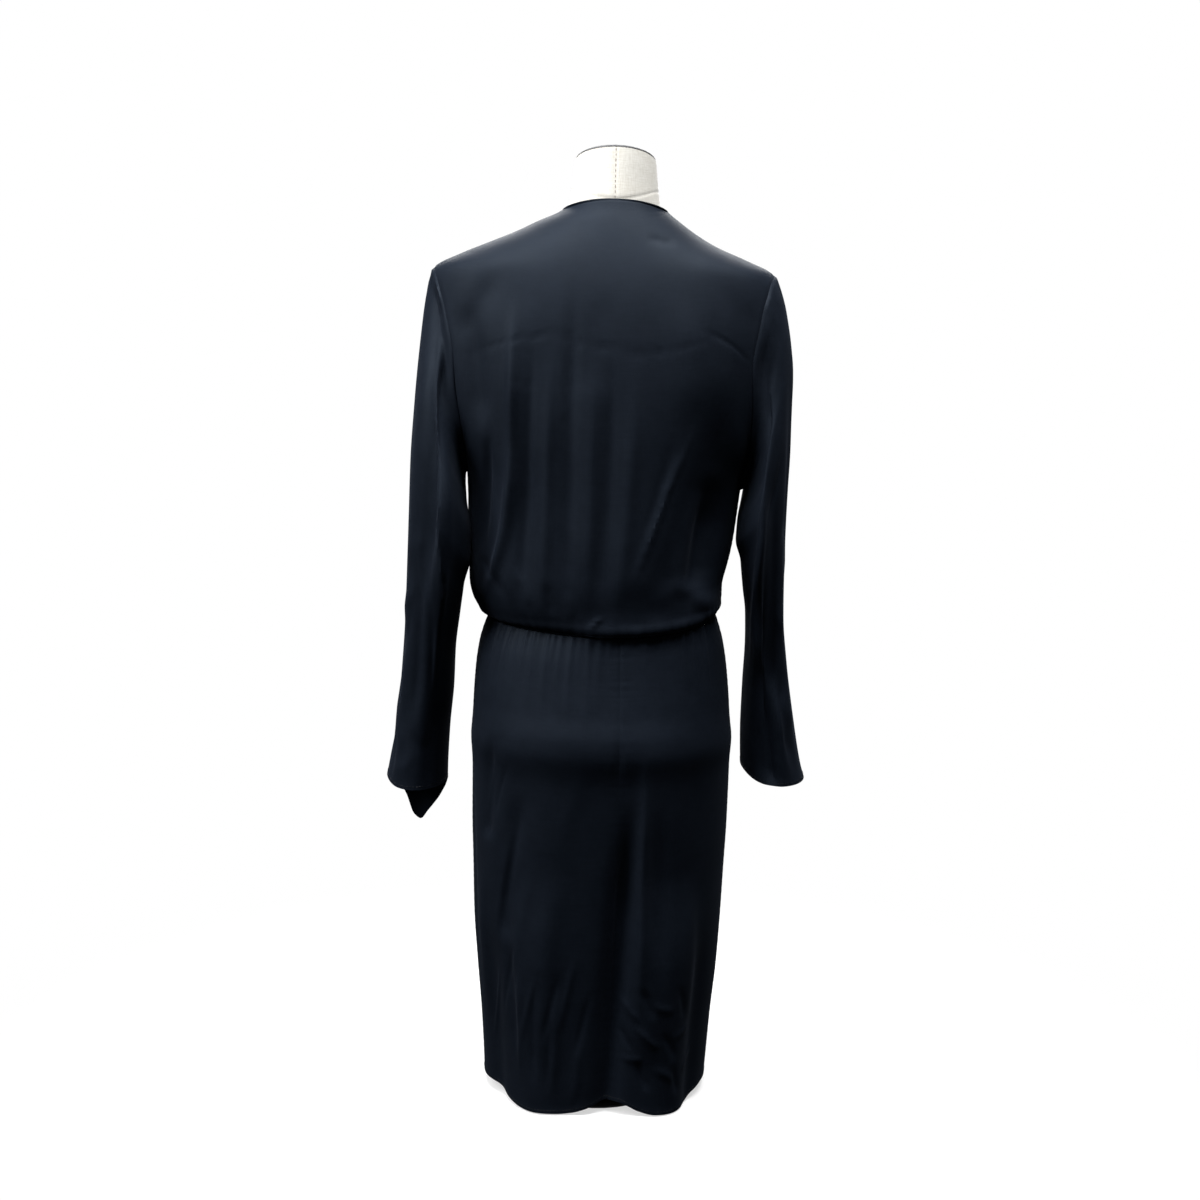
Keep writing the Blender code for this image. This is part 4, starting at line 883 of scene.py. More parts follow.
def make_bodice_front(side, creases):
    points, x, height = bodice_front_points(side)
    points = relaxed(points, BODICE_RELAXED)
    across, from_top = lengths(points, 1), lengths(points, 0)
    ends = (across, across[:, -1:] - across)
    to_edge, to_seam = ends[::side]
    to_waist = from_top[-1:] - from_top
    held = creases_held(to_seam, from_top, to_waist) * smooth_step(0.0, HELD_EDGE, to_edge)
    rise = crease_rise(creases, x, height) * held
    tucks = tuck_rise(WAIST_TUCKS, turn_at(BODICE, x, height, -1), to_waist) * FRONT_TUCKS
    rise += (tucks * smooth_step(0.0, HELD_SIDE, to_seam)
             * smooth_step(0.0, TUCKS_HELD_EDGE, to_edge))
    rise += seam_dent(to_seam) + seam_dent(from_top) + pucker(to_seam, from_top)
    return add_sheet("bodice_front_" + SIDE[side], raised(points, rise))


make_bodice_front(-1, OVER_CREASES)
make_bodice_front(1, UNDER_CREASES)

# %% [markdown]
# ## The sleeves
#
# A sleeve starts as the armhole's own edge and turns, over its first quarter, into a
# plain tube that hangs beside the body. Its stations start with a part of the sleeve's
# length and say where the outer and the inner side of the section lie there. The hem is
# cut longer at the front of the left sleeve, so a point of it hangs below the back layer.
# A sleeve's creases are placed by the turn round the arm and by parts of its length.

# %% Sleeve stations
STATION = "outer outer_height inner inner_height inner_back middle half_depth"
SLEEVE_TOP_BLEND = 0.28
SLEEVE_HEM_FROM = 0.80
SLEEVE_LEFT = curves(
    STATION,
    (0, 208.6, 990, 163, 750, 0, 0, 66), (40, 215, 970, 166.5, 753, 0, 0, 67),
    (90, 219.5, 943, 169, 748, 4, 0, 69), (150, 223, 910, 168.2, 737, 14, 0, 71),
    (220, 226.5, 872, 165.8, 721, 26, 0, 72), (300, 230, 828, 164, 695, 36, -1, 72),
    (400, 234, 770, 164, 660, 40, -4, 70), (500, 236, 705, 167, 625, 34, -8, 68),
    (600, 238, 640, 172.5, 585, 24, -12, 66), (700, 240.2, 575, 178.5, 540, 12, -16, 63),
    (800, 244.5, 510, 181, 490, 4, -20, 60), (900, 250.5, 445, 185.8, 440, 0, -24, 58),
    (970, 258.5, 400, 188, 396, 0, -27, 58), (1000, 262.2, 378, 188.5, 372, 0, -28, 58))
SLEEVE_RIGHT = curves(
    STATION,
    (0, 188, 990, 158.1, 738, 0, 0, 67), (40, 196.5, 972, 161.8, 741, 0, 0, 68),
    (90, 203.5, 948, 163.2, 735, 4, 0, 70), (150, 208.5, 918, 161, 720, 14, 0, 71),
    (220, 211, 880, 158, 700, 24, 0, 72), (300, 211, 838, 157, 680, 28, -1, 72),
    (400, 212.2, 780, 159.5, 655, 26, -4, 70), (500, 213, 715, 164, 622, 20, -8, 67),
    (600, 213.8, 650, 169, 590, 12, -12, 64), (700, 215.5, 590, 170.8, 545, 6, -15, 62),
    (800, 222.2, 530, 170, 500, 0, -18, 61), (900, 233.5, 460, 169.5, 450, 0, -20, 62),
    (970, 243.5, 408, 170.6, 412, 0, -21, 62), (1000, 249, 388, 171.5, 398, 0, -22, 62))
print("stations on each sleeve:", len(SLEEVE_LEFT["outer"].at))

# %% Creases of the sleeves
SLEEVE_ROUND = 100.0      # degrees round the arm for a crease's across value of 1
LEFT_SLEEVE_CREASES = crease_table(
    (960, 173, 1062, 691, 200, 6, -48, 1), (406, 22, 1050, 337, 50, 5, -88, 1.1),
    (938, 211, 1214, 680, 50, 5, -24, 1.1), (-17, 0, 1221, 38, 120, -11, -6, 1),
    (597, 138, 998, 598, 150, -8, -99, 1), (860, 580, 1400, 960, 110, -5.4, 40, 1),
    (1800, 220, 1800, 520, 300, 5, 0, 1), (100, 680, 660, 600, 26, 1.8, 20, 1.3),
    (140, 760, 600, 670, 30, -1.8, 20, 1.2), (600, 530, 1000, 630, 34, 1.6, 20, 1.2),
    (300, 550, 800, 480, 26, 1.2, 20, 1.2), (160, 850, 660, 920, 26, 2, 20, 1.3),
    (600, 900, 1300, 930, 20, -1.4, 10, 1.3), (40, 930, 460, 965, 22, -1.8, 10, 1.3),
    (300, 970, 900, 945, 18, 1.2, 10, 1.3), (200, 800, 300, 950, 60, 2, 20, 1),
    (2400, 100, 2500, 600, 90, 3.4, 40, 1.2), (2900, 140, 2800, 700, 90, -3.2, 30, 1),
    (3200, 200, 3280, 800, 80, 2.6, -30, 1.2), (2200, 520, 3000, 600, 35, 1.6, 20, 1.2),
    (2300, 640, 3100, 580, 30, -1.4, 20, 1.2), (2500, 860, 3200, 900, 28, 1.4, 10, 1.2))
RIGHT_SLEEVE_CREASES = crease_table(
    (483, 78, 1071, 298, 120, -6, -134, 1), (30, 124, 239, 530, 90, 3, -96, 1),
    (860, 201, 1556, 724, 70, 4, 49, 1.1), (1249, 651, 756, 1000, 230, -12, 4, 1),
    (1505, 617, 500, 1000, 55, 4.6, 51, 1.2), (440, 320, 1000, 410, 24, -2, 10, 1.3),
    (340, 280, 400, 740, 90, -2.2, 20, 1), (1800, 60, 1800, 400, 300, 4.8, 0, 1),
    (360, 700, 700, 660, 30, 2, 10, 1.3), (340, 790, 720, 830, 30, -2, 20, 1.2),
    (240, 890, 660, 840, 28, 2, 10, 1.3), (300, 950, 720, 900, 26, -1.8, 10, 1.2),
    (160, 560, 540, 620, 30, 1.6, 10, 1.2), (200, 470, 600, 520, 26, -1.2, 10, 1.2),
    (2400, 120, 2460, 620, 90, 3.2, 40, 1.2), (2950, 140, 2850, 700, 90, -3.2, 30, 1),
    (3250, 200, 3200, 800, 80, 2.4, -30, 1.2), (2300, 500, 3050, 570, 35, 1.6, 20, 1.2),
    (2400, 840, 3100, 900, 28, -1.4, 10, 1.2))
print("creases of the sleeves:", len(LEFT_SLEEVE_CREASES + RIGHT_SLEEVE_CREASES))

# %% Sleeves
SLEEVE_COLUMNS = 112
SLEEVE_ROW_LIST = np.linspace(0.0, 1.0, 176)
CAP_TUCKS = make_tucks(23, -34, 46, 7.0, 0.034, 0.0018)
HEM_DEPTH = 0.0042
HEM_STEP = 0.00030
HEM_SOFT = 0.0006
ARM_STEP = 0.0070
ARM_STEP_TURN = 95        # degrees round the arm, from the outer side over the back
ARM_STEP_WIDTH = 52
ARM_STEP_FULL = 0.050     # metres below the armhole
ARM_STEP_FADES = 0.062
ARM_STEP_NONE = 0.170
SLEEVE_HELD = 0.020       # creases grow over this distance from the armhole
CUFF_HELD = (-0.012, 0.020)          # and are already there, in part, at the hem
TUCKS_HELD_ARM = 0.003
CUFF_RIPPLE = 0.0003
CUFF_RIPPLE_LENGTH = 0.011
CUFF_RIPPLE_REACH = 0.02


def armhole_ring(turn, side):
    """The armhole's edge: from the shoulder tip down the back and up the front."""
    height = ring_height(turn, side)
    behind = bodice_point(side * armhole_x(height, side, 1), height, 1, BACK_FOLDS)
    before = bodice_point(side * armhole_x(height, side, -1), height, -1, FRONT_FOLDS)
    return np.where((turn <= np.pi)[..., None], behind, before)


def sleeve_section(stations, side, along, turn):
    """Middle of a plain section and the way from there to its wall."""
    at = {name: curve(along) for name, curve in stations.items()}
    outer = stack(side * at["outer"], at["middle"], at["outer_height"])
    inner = stack(side * at["inner"], at["middle"] + at["inner_back"], at["inner_height"])
    back = stack(0.0, at["half_depth"], 0.0)
    return ((outer + inner) / 2,
            (outer - inner) / 2 * np.cos(turn)[..., None] + back * np.sin(turn)[..., None])


def sleeve_points(side, stations):
    """Rows from the armhole down. The ring runs against the clock seen from above on
    the right and with it on the left, so that both sleeves face outwards."""
    along = SLEEVE_ROW_LIST[:, None]
    turn = np.linspace(0.0, 2 * np.pi, SLEEVE_COLUMNS, endpoint=False)[None, ::-side]
    middle, arm = sleeve_section(stations, side, along, turn)
    first_middle, first_arm = sleeve_section(stations, side, along * 0.0, turn)
    keep = (1 - np.minimum(along / SLEEVE_TOP_BLEND, 1.0)) ** 2
    to_armhole = armhole_ring(turn, side) - first_middle - first_arm
    point = middle + arm + to_armhole * keep[..., None]
    degrees = np.degrees(turn)
    point = point + unit(arm) * fold_rise(SLEEVE_FOLDS, degrees, along)[..., None]
    drop = HEM_DROP[SIDE[side]](degrees)
    point[..., 2] -= drop * smooth_step(SLEEVE_HEM_FROM, 1.0, along)
    return point, degrees + 0.0 * along, along + 0.0 * degrees


def hem_fold(from_edge):
    """Cloth is double at a hem, so it stands out a little up to the stitching."""
    return HEM_STEP * smooth_step(HEM_DEPTH + HEM_SOFT, HEM_DEPTH - HEM_SOFT, from_edge)


def arm_step(degrees, down):
    """How far the right sleeve sinks in below its armhole, at the back."""
    behind = np.exp(-((degrees - ARM_STEP_TURN) / ARM_STEP_WIDTH) ** 4)
    swell = smooth_step(0.0, ARM_STEP_FULL, down)
    return ARM_STEP * behind * swell * smooth_step(ARM_STEP_NONE, ARM_STEP_FADES, down)


def make_sleeve(side, stations, creases):
    points, degrees, along = sleeve_points(side, stations)
    down, across = lengths(points, 0), lengths(points, 1)
    to_hem = down[-1:] - down
    rise = crease_rise(creases, degrees / SLEEVE_ROUND, along)
    rise = rise * smooth_step(0.0, SLEEVE_HELD, down) * smooth_step(*CUFF_HELD, to_hem)
    rise += tuck_rise(CAP_TUCKS, degrees, down) * smooth_step(0.0, TUCKS_HELD_ARM, down)
    rise += seam_dent(down) + pucker(down, across) + hem_fold(to_hem)
    ripple = CUFF_RIPPLE * np.sin(across / CUFF_RIPPLE_LENGTH)
    rise += ripple * np.exp(-to_hem / CUFF_RIPPLE_REACH)
    if side < 0:
        rise -= arm_step(degrees, down)
    return add_sheet("sleeve_" + SIDE[side], raised(points, rise, closed=True), closed=True)


make_sleeve(1, SLEEVE_LEFT, LEFT_SLEEVE_CREASES)
make_sleeve(-1, SLEEVE_RIGHT, RIGHT_SLEEVE_CREASES)

# %% [markdown]
# ## The skirt
#
# The skirt is a tube of four panels that narrows to its hem: two at the back with a seam
# between them, and two crossing at the front. Gathers hang from the waist like ribs,
# each with its own length. Below them the cloth is smooth over the hips, and it breaks
# again into long soft folds where it is free.

# %% Gathers and creases of the skirt
Gather = namedtuple("Gather", "turn length rise")


def gather_table(*rows):
    """Gathers from rows of degrees, millimetres and millimetres."""
    return [Gather(turn, length / 1000, round(rise / 1000, 7)) for turn, length, rise in rows]


GATHERS = gather_table(
    (-2.4, 40, 1), (1.2, 86, 1.8), (5.6, 112, 1.5), (8.7, 50, 0.9), (12.6, 118, 1.9),
    (17.6, 82, 1.2), (21.4, 58, 1.6), (24, 110, 1.8), (29.2, 70, 1), (32, 96, 1.8),
    (37.1, 60, 1.8), (40.8, 88, 1.2), (46.5, 72, 1.9), (51.2, 98, 1.4), (59.4, 64, 1.6),
    (-17, 44, 0.9), (-26.4, 30, 0.8), (-38.7, 66, 1.5), (-44.9, 84, 1.2), (-54.3, 80, 1.5),
    (104, 70, 1.5), (108, 90, 1.8), (115, 60, 1.2), (121, 60, 1.6), (128, 80, 1.2),
    (156, 60, 1.4), (161, 80, 1.8), (169, 50, 1.2), (175, 90, 1.9), (183, 70, 1.4),
    (190, 100, 1.8), (198, 60, 1.2), (205, 90, 1.9), (214, 80, 1.4), (223, 70, 1.8),
    (231, 90, 1.2), (242, 70, 1.6))
GATHER_WIDTH = 1.35       # degrees
GATHER_SWAY = 0.45
GATHER_NARROW = 0.75      # share of the width at the waist
GATHER_WIDENS = 0.6
GATHER_FANS = 0.02        # gathers lean away from the centre back by this share
GATHER_SWAYS = (5, 3)     # how the sway changes from one gather to the next and down one
GATHER_FADE = 1.5
GATHER_SWELL = 0.4
FINE_TUCKS = make_tucks(37, -75, 270, 3.1, 0.022, 0.0006)
SKIRT_ARC = 0.0024        # metres of cloth for each degree round the hips
SKIRT_CREASES = crease_table(
    (-70, 460, -71, 190, 22, 2.6, -2, 1), (51, 436, 53, 189, 20, 2.4, 2, 1),
    (400, 436, -420, 444, 20, 2.4, 0, 1), (-27, 390, -9, 49, 10, -4.8, 0, 1),
    (-41, 463, -43, 109, 5.8, 5.4, 0, 1.2), (-57, 415, -69, 137, 11, -4.8, 4, 1),
    (34, 182, 54, 90, 3.4, -1.4, 0, 1), (16, 208, 38, 97, 3.6, 1.3, 0, 1),
    (54, 193, 85, 75, 3.4, 1.2, 0, 1), (3, 161, 19, 68, 3.4, -1.3, 0, 1),
    (84, 224, 118, 106, 3.6, -1.2, 0, 1), (118, 178, 152, 60, 3.4, 1.2, 0, 1),
    (96, 430, 124, 350, 4, -1.1, 3, 1.2), (110, 450, 146, 330, 6, 1, 4, 1.1),
    (74, 396, 114, 200, 6, -1.6, 4, 1.1), (90, 360, 122, 190, 6, 1.4, 4, 1.2),
    (60, 330, 88, 160, 9, 1.4, 3, 1), (36, 330, 56, 50, 13, 2.6, 4, 1),
    (100, 240, 86, 50, 8, -2.8, 3, 1), (78, 200, 84, 36, 6, 2.6, 2, 1.1),
    (58, 190, 66, 26, 6, -2.6, 2, 1.1), (34, 170, 42, 20, 6, 2.2, 2, 1.1),
    (44, 130, 50, 30, 4, -1.2, -1, 1.1), (14, 110, 20, 10, 6, 1.8, -1, 1.1),
    (-22, 150, -46, 118, 3.4, 1.7, 2, 1.3), (-40, 166, -60, 122, 4, -2, -2, 1.2),
    (-52, 146, -86, 134, 3.2, 1.4, 3, 1.3), (-84, 166, -100, 116, 4, -1.5, -2, 1.2),
    (-24, 112, -40, 78, 3.4, -1.8, 2, 1.2), (-38, 116, -70, 88, 3.2, 1.7, 2, 1.3),
    (-66, 110, -90, 70, 3.7, -1.8, -3, 1.2), (-80, 100, -116, 112, 3.4, 1.4, 2, 1.3),
    (-24, 66, -52, 76, 3.2, 1.5, 2, 1.3), (-44, 74, -60, 34, 4, -2, 2, 1.2),
    (-60, 66, -90, 46, 3.5, 1.7, -2, 1.3), (-86, 70, -100, 26, 4, -1.7, 2, 1.2),
    (-100, 54, -134, 74, 3.5, 1.3, -1, 1.3), (-104, 300, -110, 100, 12, 2.4, 3, 1),
    (10, 440, 40, 300, 10, 1, 3, 1), (150, 300, 158, 80, 10, 2.2, 3, 1),
    (185, 420, 176, 150, 10, -2, 3, 1), (240, 420, 262, 120, 9, 2.6, -4, 1.2),
    (290, 400, 276, 80, 11, -2.4, 4, 1), (365, 430, 345, 150, 9, 2.4, 5, 1.2),
    (440, 440, 400, 180, 8, -2.2, 6, 1.1), (480, 470, 430, 250, 7, 2.2, 6, 1.2),
    (500, 430, 520, 100, 10, -2.2, 4, 1), (560, 400, 545, 120, 9, 2.2, 4, 1.1),
    (610, 380, 620, 80, 11, -2.2, 4, 1), (430, 140, 470, 120, 4, 1.6, 1, 1.3),
    (450, 100, 505, 80, 4, -1.6, 1, 1.3))
print("gathers:", len(GATHERS), "creases of the skirt:", len(SKIRT_CREASES))

# %% Skirt surface
def skirt_point(turn, height, inward=0.0):
    """A point of the skirt's outer face at a nominal height."""
    angle = np.radians(turn)
    across, along = np.sin(angle), np.cos(angle)
    half = np.where(across >= 0, SKIRT["left"](height), SKIRT["right"](height))
    depth = np.where(along >= 0, SKIRT["back"](height), SKIRT["front"](height))
    x = signed_power(across, 2 / SQUARENESS) * half
    y = signed_power(along, 2 / SQUARENESS) * depth
    out = unit(stack(signed_power(x / half, SQUARENESS - 1) / half,
                     signed_power(y / depth, SQUARENESS - 1) / depth, 0.0))
    rise = fold_rise(SKIRT_FOLDS, turn, height) + waist_ease(turn, height) - inward
    top_rise = waist_lift(turn) * smooth_step(SKIRT_LEVEL_FROM, SKIRT_TOP, height)
    low_rise = HEM_RISE(around(turn)) * smooth_step(HEM_LINE_FROM, HEM, height)
    return stack(x, y, height + top_rise + low_rise) + out * rise[..., None]


def gather_rise(turn, height):
    """Ribs under the waist, each widening and dying out over its own length."""
    total = 0.0
    for gather in GATHERS:
        run = np.clip((SKIRT_TOP - height) / gather.length, 0.0, 1.0)
        wide = GATHER_WIDTH * (GATHER_NARROW + GATHER_WIDENS * run)
        sway = GATHER_SWAY * np.sin(GATHER_SWAYS[0] * gather.turn + GATHER_SWAYS[1] * run)
        middle = gather.turn * (1 + GATHER_FANS * run) + sway
        bell = np.exp(-(around(turn - middle) / wide) ** 2)
        fade = (1 - run) ** GATHER_FADE
        total = total + gather.rise * bell * fade * (1 + GATHER_SWELL * run)
    return total


# %% Skirt panels
SKIRT_YOKE = 0.500        # rows are closer together above this height
SKIRT_ROW_LIST = np.concatenate((np.linspace(SKIRT_TOP, SKIRT_YOKE, 32)[:-1],
                                 np.linspace(SKIRT_YOKE, HEM, 134)))
SKIRT_STEP = 0.8          # degrees between columns
UNDER_SHARE = 0.5         # height of the hidden layer's creases as a share
SEAM_SHOWN_LOW = 0.12     # share of a seam's dent that shows low on the skirt
SEAM_SHOWN_MORE = 0.7     # and how much more shows under the waist
SEAM_SHOWN_RISE = (0.44, 0.54)       # heights between which it grows
SKIRT_HELD_SEAM = (-0.006, 0.010)    # distances over which creases grow, from a seam,
SKIRT_HELD_HEM = (-0.020, 0.020)     # from the hem
SKIRT_HELD_TOP = (0.0, 0.004)        # and from the waist


def make_skirt_panel(node, first, last, free_edge=None):
    """first and last are the turns of its two edges, first the greater; free_edge is
    the one that isn't sewn. Normals are taken on a wider grid, so that neighbours
    agree at their seam."""
    under = node == "skirt_front_left"
    share = UNDER_SHARE if under else 1.0
    count = round((first - last) / SKIRT_STEP)
    turn = np.linspace(first, last, count + 1)[None, :]
    height = SKIRT_ROW_LIST[:, None]
    beyond = np.concatenate(([first + SKIRT_STEP], turn[0], [last - SKIRT_STEP]))[None, :]
    lap = LAP_UNDER * smooth_step(LAP_SKIRT_NONE, LAP_SKIRT_FULL, beyond) * float(under)
    wider = skirt_point(beyond, height, lap)
    points, normals = wider[:, 1:-1], grid_normals(wider, False)[:, 1:-1]
    across, down = lengths(points, 1), lengths(points, 0)
    to_hem = down[-1:] - down
    held = smooth_step(*SKIRT_HELD_TOP, down)
    shown = SEAM_SHOWN_LOW + SEAM_SHOWN_MORE * smooth_step(*SEAM_SHOWN_RISE, height)
    rise = np.zeros_like(down)
    for distance, at in ((across, first), (across[:, -1:] - across, last)):
        if at != free_edge:
            held = held * smooth_step(*SKIRT_HELD_SEAM, distance)
            rise += seam_dent(distance) * shown + pucker(distance, down)
    creases = crease_rise(SKIRT_CREASES, turn * SKIRT_ARC, height)
    rise += creases * held * share * smooth_step(*SKIRT_HELD_HEM, to_hem)
    rise += gather_rise(turn, height) * share
    rise += tuck_rise(FINE_TUCKS, turn, down) * held + hem_fold(to_hem)
    return add_sheet(node, points + normals * rise[..., None])


make_skirt_panel("skirt_back_left", 90.0, CENTRE_SEAM)
make_skirt_panel("skirt_back_right", CENTRE_SEAM, -90.0)
make_skirt_panel("skirt_front_left", 215.0, 90.0, free_edge=215.0)
make_skirt_panel("skirt_front_right", 270.0, 143.0, free_edge=143.0)

# %% [markdown]
# ## The waist casing
#
# Between bodice and skirt runs a narrow casing with elastic in it. Elastic ruches its
# casing: the cloth stands in many small waves. A level ring with a cross-section of a
# few points, swept round the waist, makes it.

# %% Waist casing
CASING_STEPS = 540
CASING_WAVES = 118
CASING_DRIFT = 9          # the waves crowd and open this often in a round
CASING_WAVER = 2.0
CASING_RUCHE = 0.0003
CASING_PUFF = 0.0008      # the casing stands out between its two seams
CASING_SWELL = 9          # how fast it does so below the upper seam
CASING_SECTION = ((0.0, 0.12), (0.0, 0.5), (0.0, 0.88), (0.3, 1.0), (1.0, 0.9), (1.0, 0.1),
                  (0.3, 0.0))      # depth and drop, in parts of the casing's own


def casing_grid():
    """Rings round the section: down the face, over the back and round again."""
    turn = np.linspace(0.0, 360.0, CASING_STEPS, endpoint=False)
    angle = np.radians(turn)
    top = skirt_point(turn, np.full(turn.shape, SKIRT_TOP))
    out = unit(top * (1.0, 1.0, 0.0))
    top[:, 2] = WAIST + waist_lift(turn) - SEAM_GAP / 2
    drift = CASING_WAVER * np.sin(CASING_DRIFT * angle)
    wave = CASING_RUCHE * np.sin(CASING_WAVES * angle + drift)
    tall = CASING_HEIGHT - 1.5 * SEAM_GAP
    rings = []
    for depth, drop in CASING_SECTION:
        inward = CASING_RECESS + depth * CASING_DEPTH
        puffed = min(drop * CASING_SWELL, 1.0 - drop ** 4)
        bulge = (wave + CASING_PUFF) * (1 - depth) * puffed
        section = top - out * inward + out * bulge[:, None]
        section[:, 2] -= drop * tall
        rings.append(section)
    return np.stack(rings, axis=1)


def closed_tube(name, grid):
    """A ring: the grid closes both round its section and along its length."""
    index = np.arange(grid[..., 0].size).reshape(grid.shape[:2])
    after_row, after_column = np.roll(index, -1, axis=0), np.roll(index, -1, axis=1)
    both = np.roll(after_row, -1, axis=1)
    faces = np.stack((index, after_row, both, after_column), axis=-1).reshape(-1, 4)
    return mesh_item(name, grid, faces.tolist())


waist_casing = closed_tube("dress_waist_casing", casing_grid())
print("casing:", len(waist_casing.data.polygons), "faces")

# %% [markdown]
# ## The rolled neck band
#
# A narrow strip of the cloth is rolled round the raw edge of both fronts and the back
# neck. Its path is simply the edge of the three sheets, so it can't miss them. At each
# place of the path the way along it and the cloth's normal give a small frame, in which
# a round section is drawn.

# %% Neck band
BAND_SIDES = 12
BAND_SPACING = 0.0028
BAND_END_LIFT = 0.0006
BAND_SHARP_FROM = 60      # degrees
PATH_EASED = 2            # how often the band's path is averaged
NORMALS_EASED = 8         # and the way it faces


def neck_band_path():
    """The over front's edge from the waist up, the back neck and the under front's
    edge down again, with the cloth's normal at each point."""
    neck = BACK_SHOULDER_COLUMNS
    lines = {"bodice_front_right": np.s_[::-1, -1],
             "bodice_back": np.s_[0, -neck - 1:neck - 1:-1],
             "bodice_front_left": np.s_[:, 0]}
    places = np.concatenate([GRIDS[node][line] for node, line in lines.items()])
    normals = np.concatenate([grid_normals(GRIDS[node], False)[line]
                              for node, line in lines.items()])
    chosen = [0]
    for i in range(1, len(places)):
        if np.linalg.norm(places[i] - places[chosen[-1]]) >= BAND_SPACING:
            chosen.append(i)
    return places[chosen], normals[chosen]


def eased(values, times):
    """Neighbouring values averaged, with the two ends kept."""
    for _ in range(times):
        inner = (values[:-2] + 2 * values[1:-1] + values[2:]) / 4
        values = np.concatenate((values[:1], inner, values[-1:]))
    return values


def neck_band_grid():
    path, normals = neck_band_path()
    path, normals = eased(path, PATH_EASED), eased(normals, NORMALS_EASED)
    along = unit(np.gradient(path, axis=0))
    normal = unit(normals - along * (normals * along).sum(axis=-1, keepdims=True))
    beyond = np.cross(normal, along)
    middle = path - normal * CLOTH_THICKNESS / 2 + beyond * (BAND_RADIUS + SEAM_GAP)
    angle = 2 * np.pi * np.arange(BAND_SIDES) / BAND_SIDES
    section = (beyond[:, None] * np.cos(angle)[None, :, None]
               + normal[:, None] * np.sin(angle)[None, :, None])
    grid = middle[:, None] + BAND_RADIUS * section
    grid[[0, -1], :, 2] += BAND_END_LIFT
    return grid


def make_neck_band():
    grid = neck_band_grid()
    band = capped_tube("dress_neck_band", grid, BAND_SHARP_FROM)
    corner = corner_vertices(band.data)
    step = 2 * math.pi * BAND_RADIUS / BAND_SIDES
    set_cloth_map(band.data, corner % BAND_SIDES * step, lengths(grid, 0).reshape(-1)[corner])
    return band


neck_band = make_neck_band()
print("neck band:", len(neck_band.data.polygons), "faces")

# %% [markdown]
# ## The dress form
#
# The torso is a loft: rings of points at many heights, joined by faces. Its neck leans,
# so its rings tilt more and more towards the top. The linen cover is sewn from panels,
# with a seam down the centre back and one round the base of the neck, and each seam
# sinks a little into the padding.

# %% Form sections
FORM = sections(
    (372, 118, 118, 86, 80), (378, 129, 129, 97, 89), (400, 140, 140, 107, 96),
    (460, 146.5, 146.5, 118, 100), (520, 140, 140, 109, 96), (585, 122.5, 122.5, 88, 85),
    (660, 108, 108, 78, 80), (740, 122, 122, 88, 98), (820, 142, 142, 98, 110),
    (880, 150, 150, 99, 102), (940, 158, 156, 90, 82), (975, 164, 158, 78, 70),
    (992, 164, 157, 70, 62), (1003, 160, 152, 65, 57), (1010, 153, 145, 62, 54.5),
    (1018, 143, 135, 59, 51), (1032, 115, 110, 56.5, 48), (1044, 84, 80, 55, 44.5),
    (1051, 65, 64, 54.5, 43), (1057, 54.5, 54.5, 54.2, 43), (1070, 52, 52, 54, 43.5),
    (1085, 50, 50, 52.5, 44), (1113, 47, 47, 50, 44))
SHOULDER_DROP = 0.0024
NECK_DROP = 0.0030
NECK_DROP_FROM = 1.030
NECK_DROP_FULL = 1.046
NECK_SLANT = 15.5         # degrees
NECK_TOP = 1.113
SLANT_FROM = 1.060
FORM_COLUMNS = 144
FORM_ROWS = ((NECK_TOP, 60), (1.040, 44), (0.990, 100), (0.400, 20), (0.372, 0))
FORM_SEAM_DEPTH = 0.0006
FORM_SEAM_WIDTH = 0.0011
FAR = 9.0                 # added to distances in front, as the seam is at the back
COLLAR_SEAM = 1.0745      # height of the seam round the base of the neck
COLLAR_DIP = 0.006        # lower at the sides of the neck by twice this
COLLAR_SHARE = 0.7        # of the other seam's depth
print("sections of the form:", len(FORM["left"].at))

# %% Torso
def form_points(angle, height):
    """Points of the torso; the angle goes from +X over the back."""
    slant = math.tan(math.radians(NECK_SLANT)) * smooth_step(SLANT_FROM, NECK_TOP, height)
    x_sign = np.cos(angle)
    drop = SHOULDER_DROP + NECK_DROP * smooth_step(NECK_DROP_FROM, NECK_DROP_FULL, height)
    half = half_width(FORM, x_sign, height)
    near = (height > SHOULDER_TIP) & (height < NECK_POINT)
    half = np.where(near, np.minimum(half, half_width(BODICE, x_sign, height + drop)), half)
    depth = np.where(np.sin(angle) >= 0, FORM["back"](height), FORM["front"](height))
    y = depth * np.sin(angle)
    return stack(half * np.cos(angle), y, height + slant * y)


def torso_grid():
    """Rows from the neck's top to the underside, with the seams sunk in."""
    height = np.concatenate([np.linspace(top, low, count)[:-1] for (top, count), (low, _)
                             in zip(FORM_ROWS, FORM_ROWS[1:])] + [[FORM_ROWS[-1][0]]])[:, None]
    angle = np.linspace(2 * np.pi, 0.0, FORM_COLUMNS, endpoint=False)[None, :]
    points = form_points(angle, height)
    aside = np.abs(points[..., 0]) + FAR * (points[..., 1] < 0)
    dent = np.exp(-(aside / FORM_SEAM_WIDTH) ** 2)
    level = height + COLLAR_DIP * np.cos(2 * (angle - np.pi / 2))
    dent = dent + COLLAR_SHARE * np.exp(-((level - COLLAR_SEAM) / FORM_SEAM_WIDTH) ** 2)
    return raised(points, -FORM_SEAM_DEPTH * dent, closed=True)


torso_points = torso_grid()
torso = capped_tube("form_linen_torso", torso_points, SHARP_FROM)
print("torso:", len(torso.data.polygons), "faces")

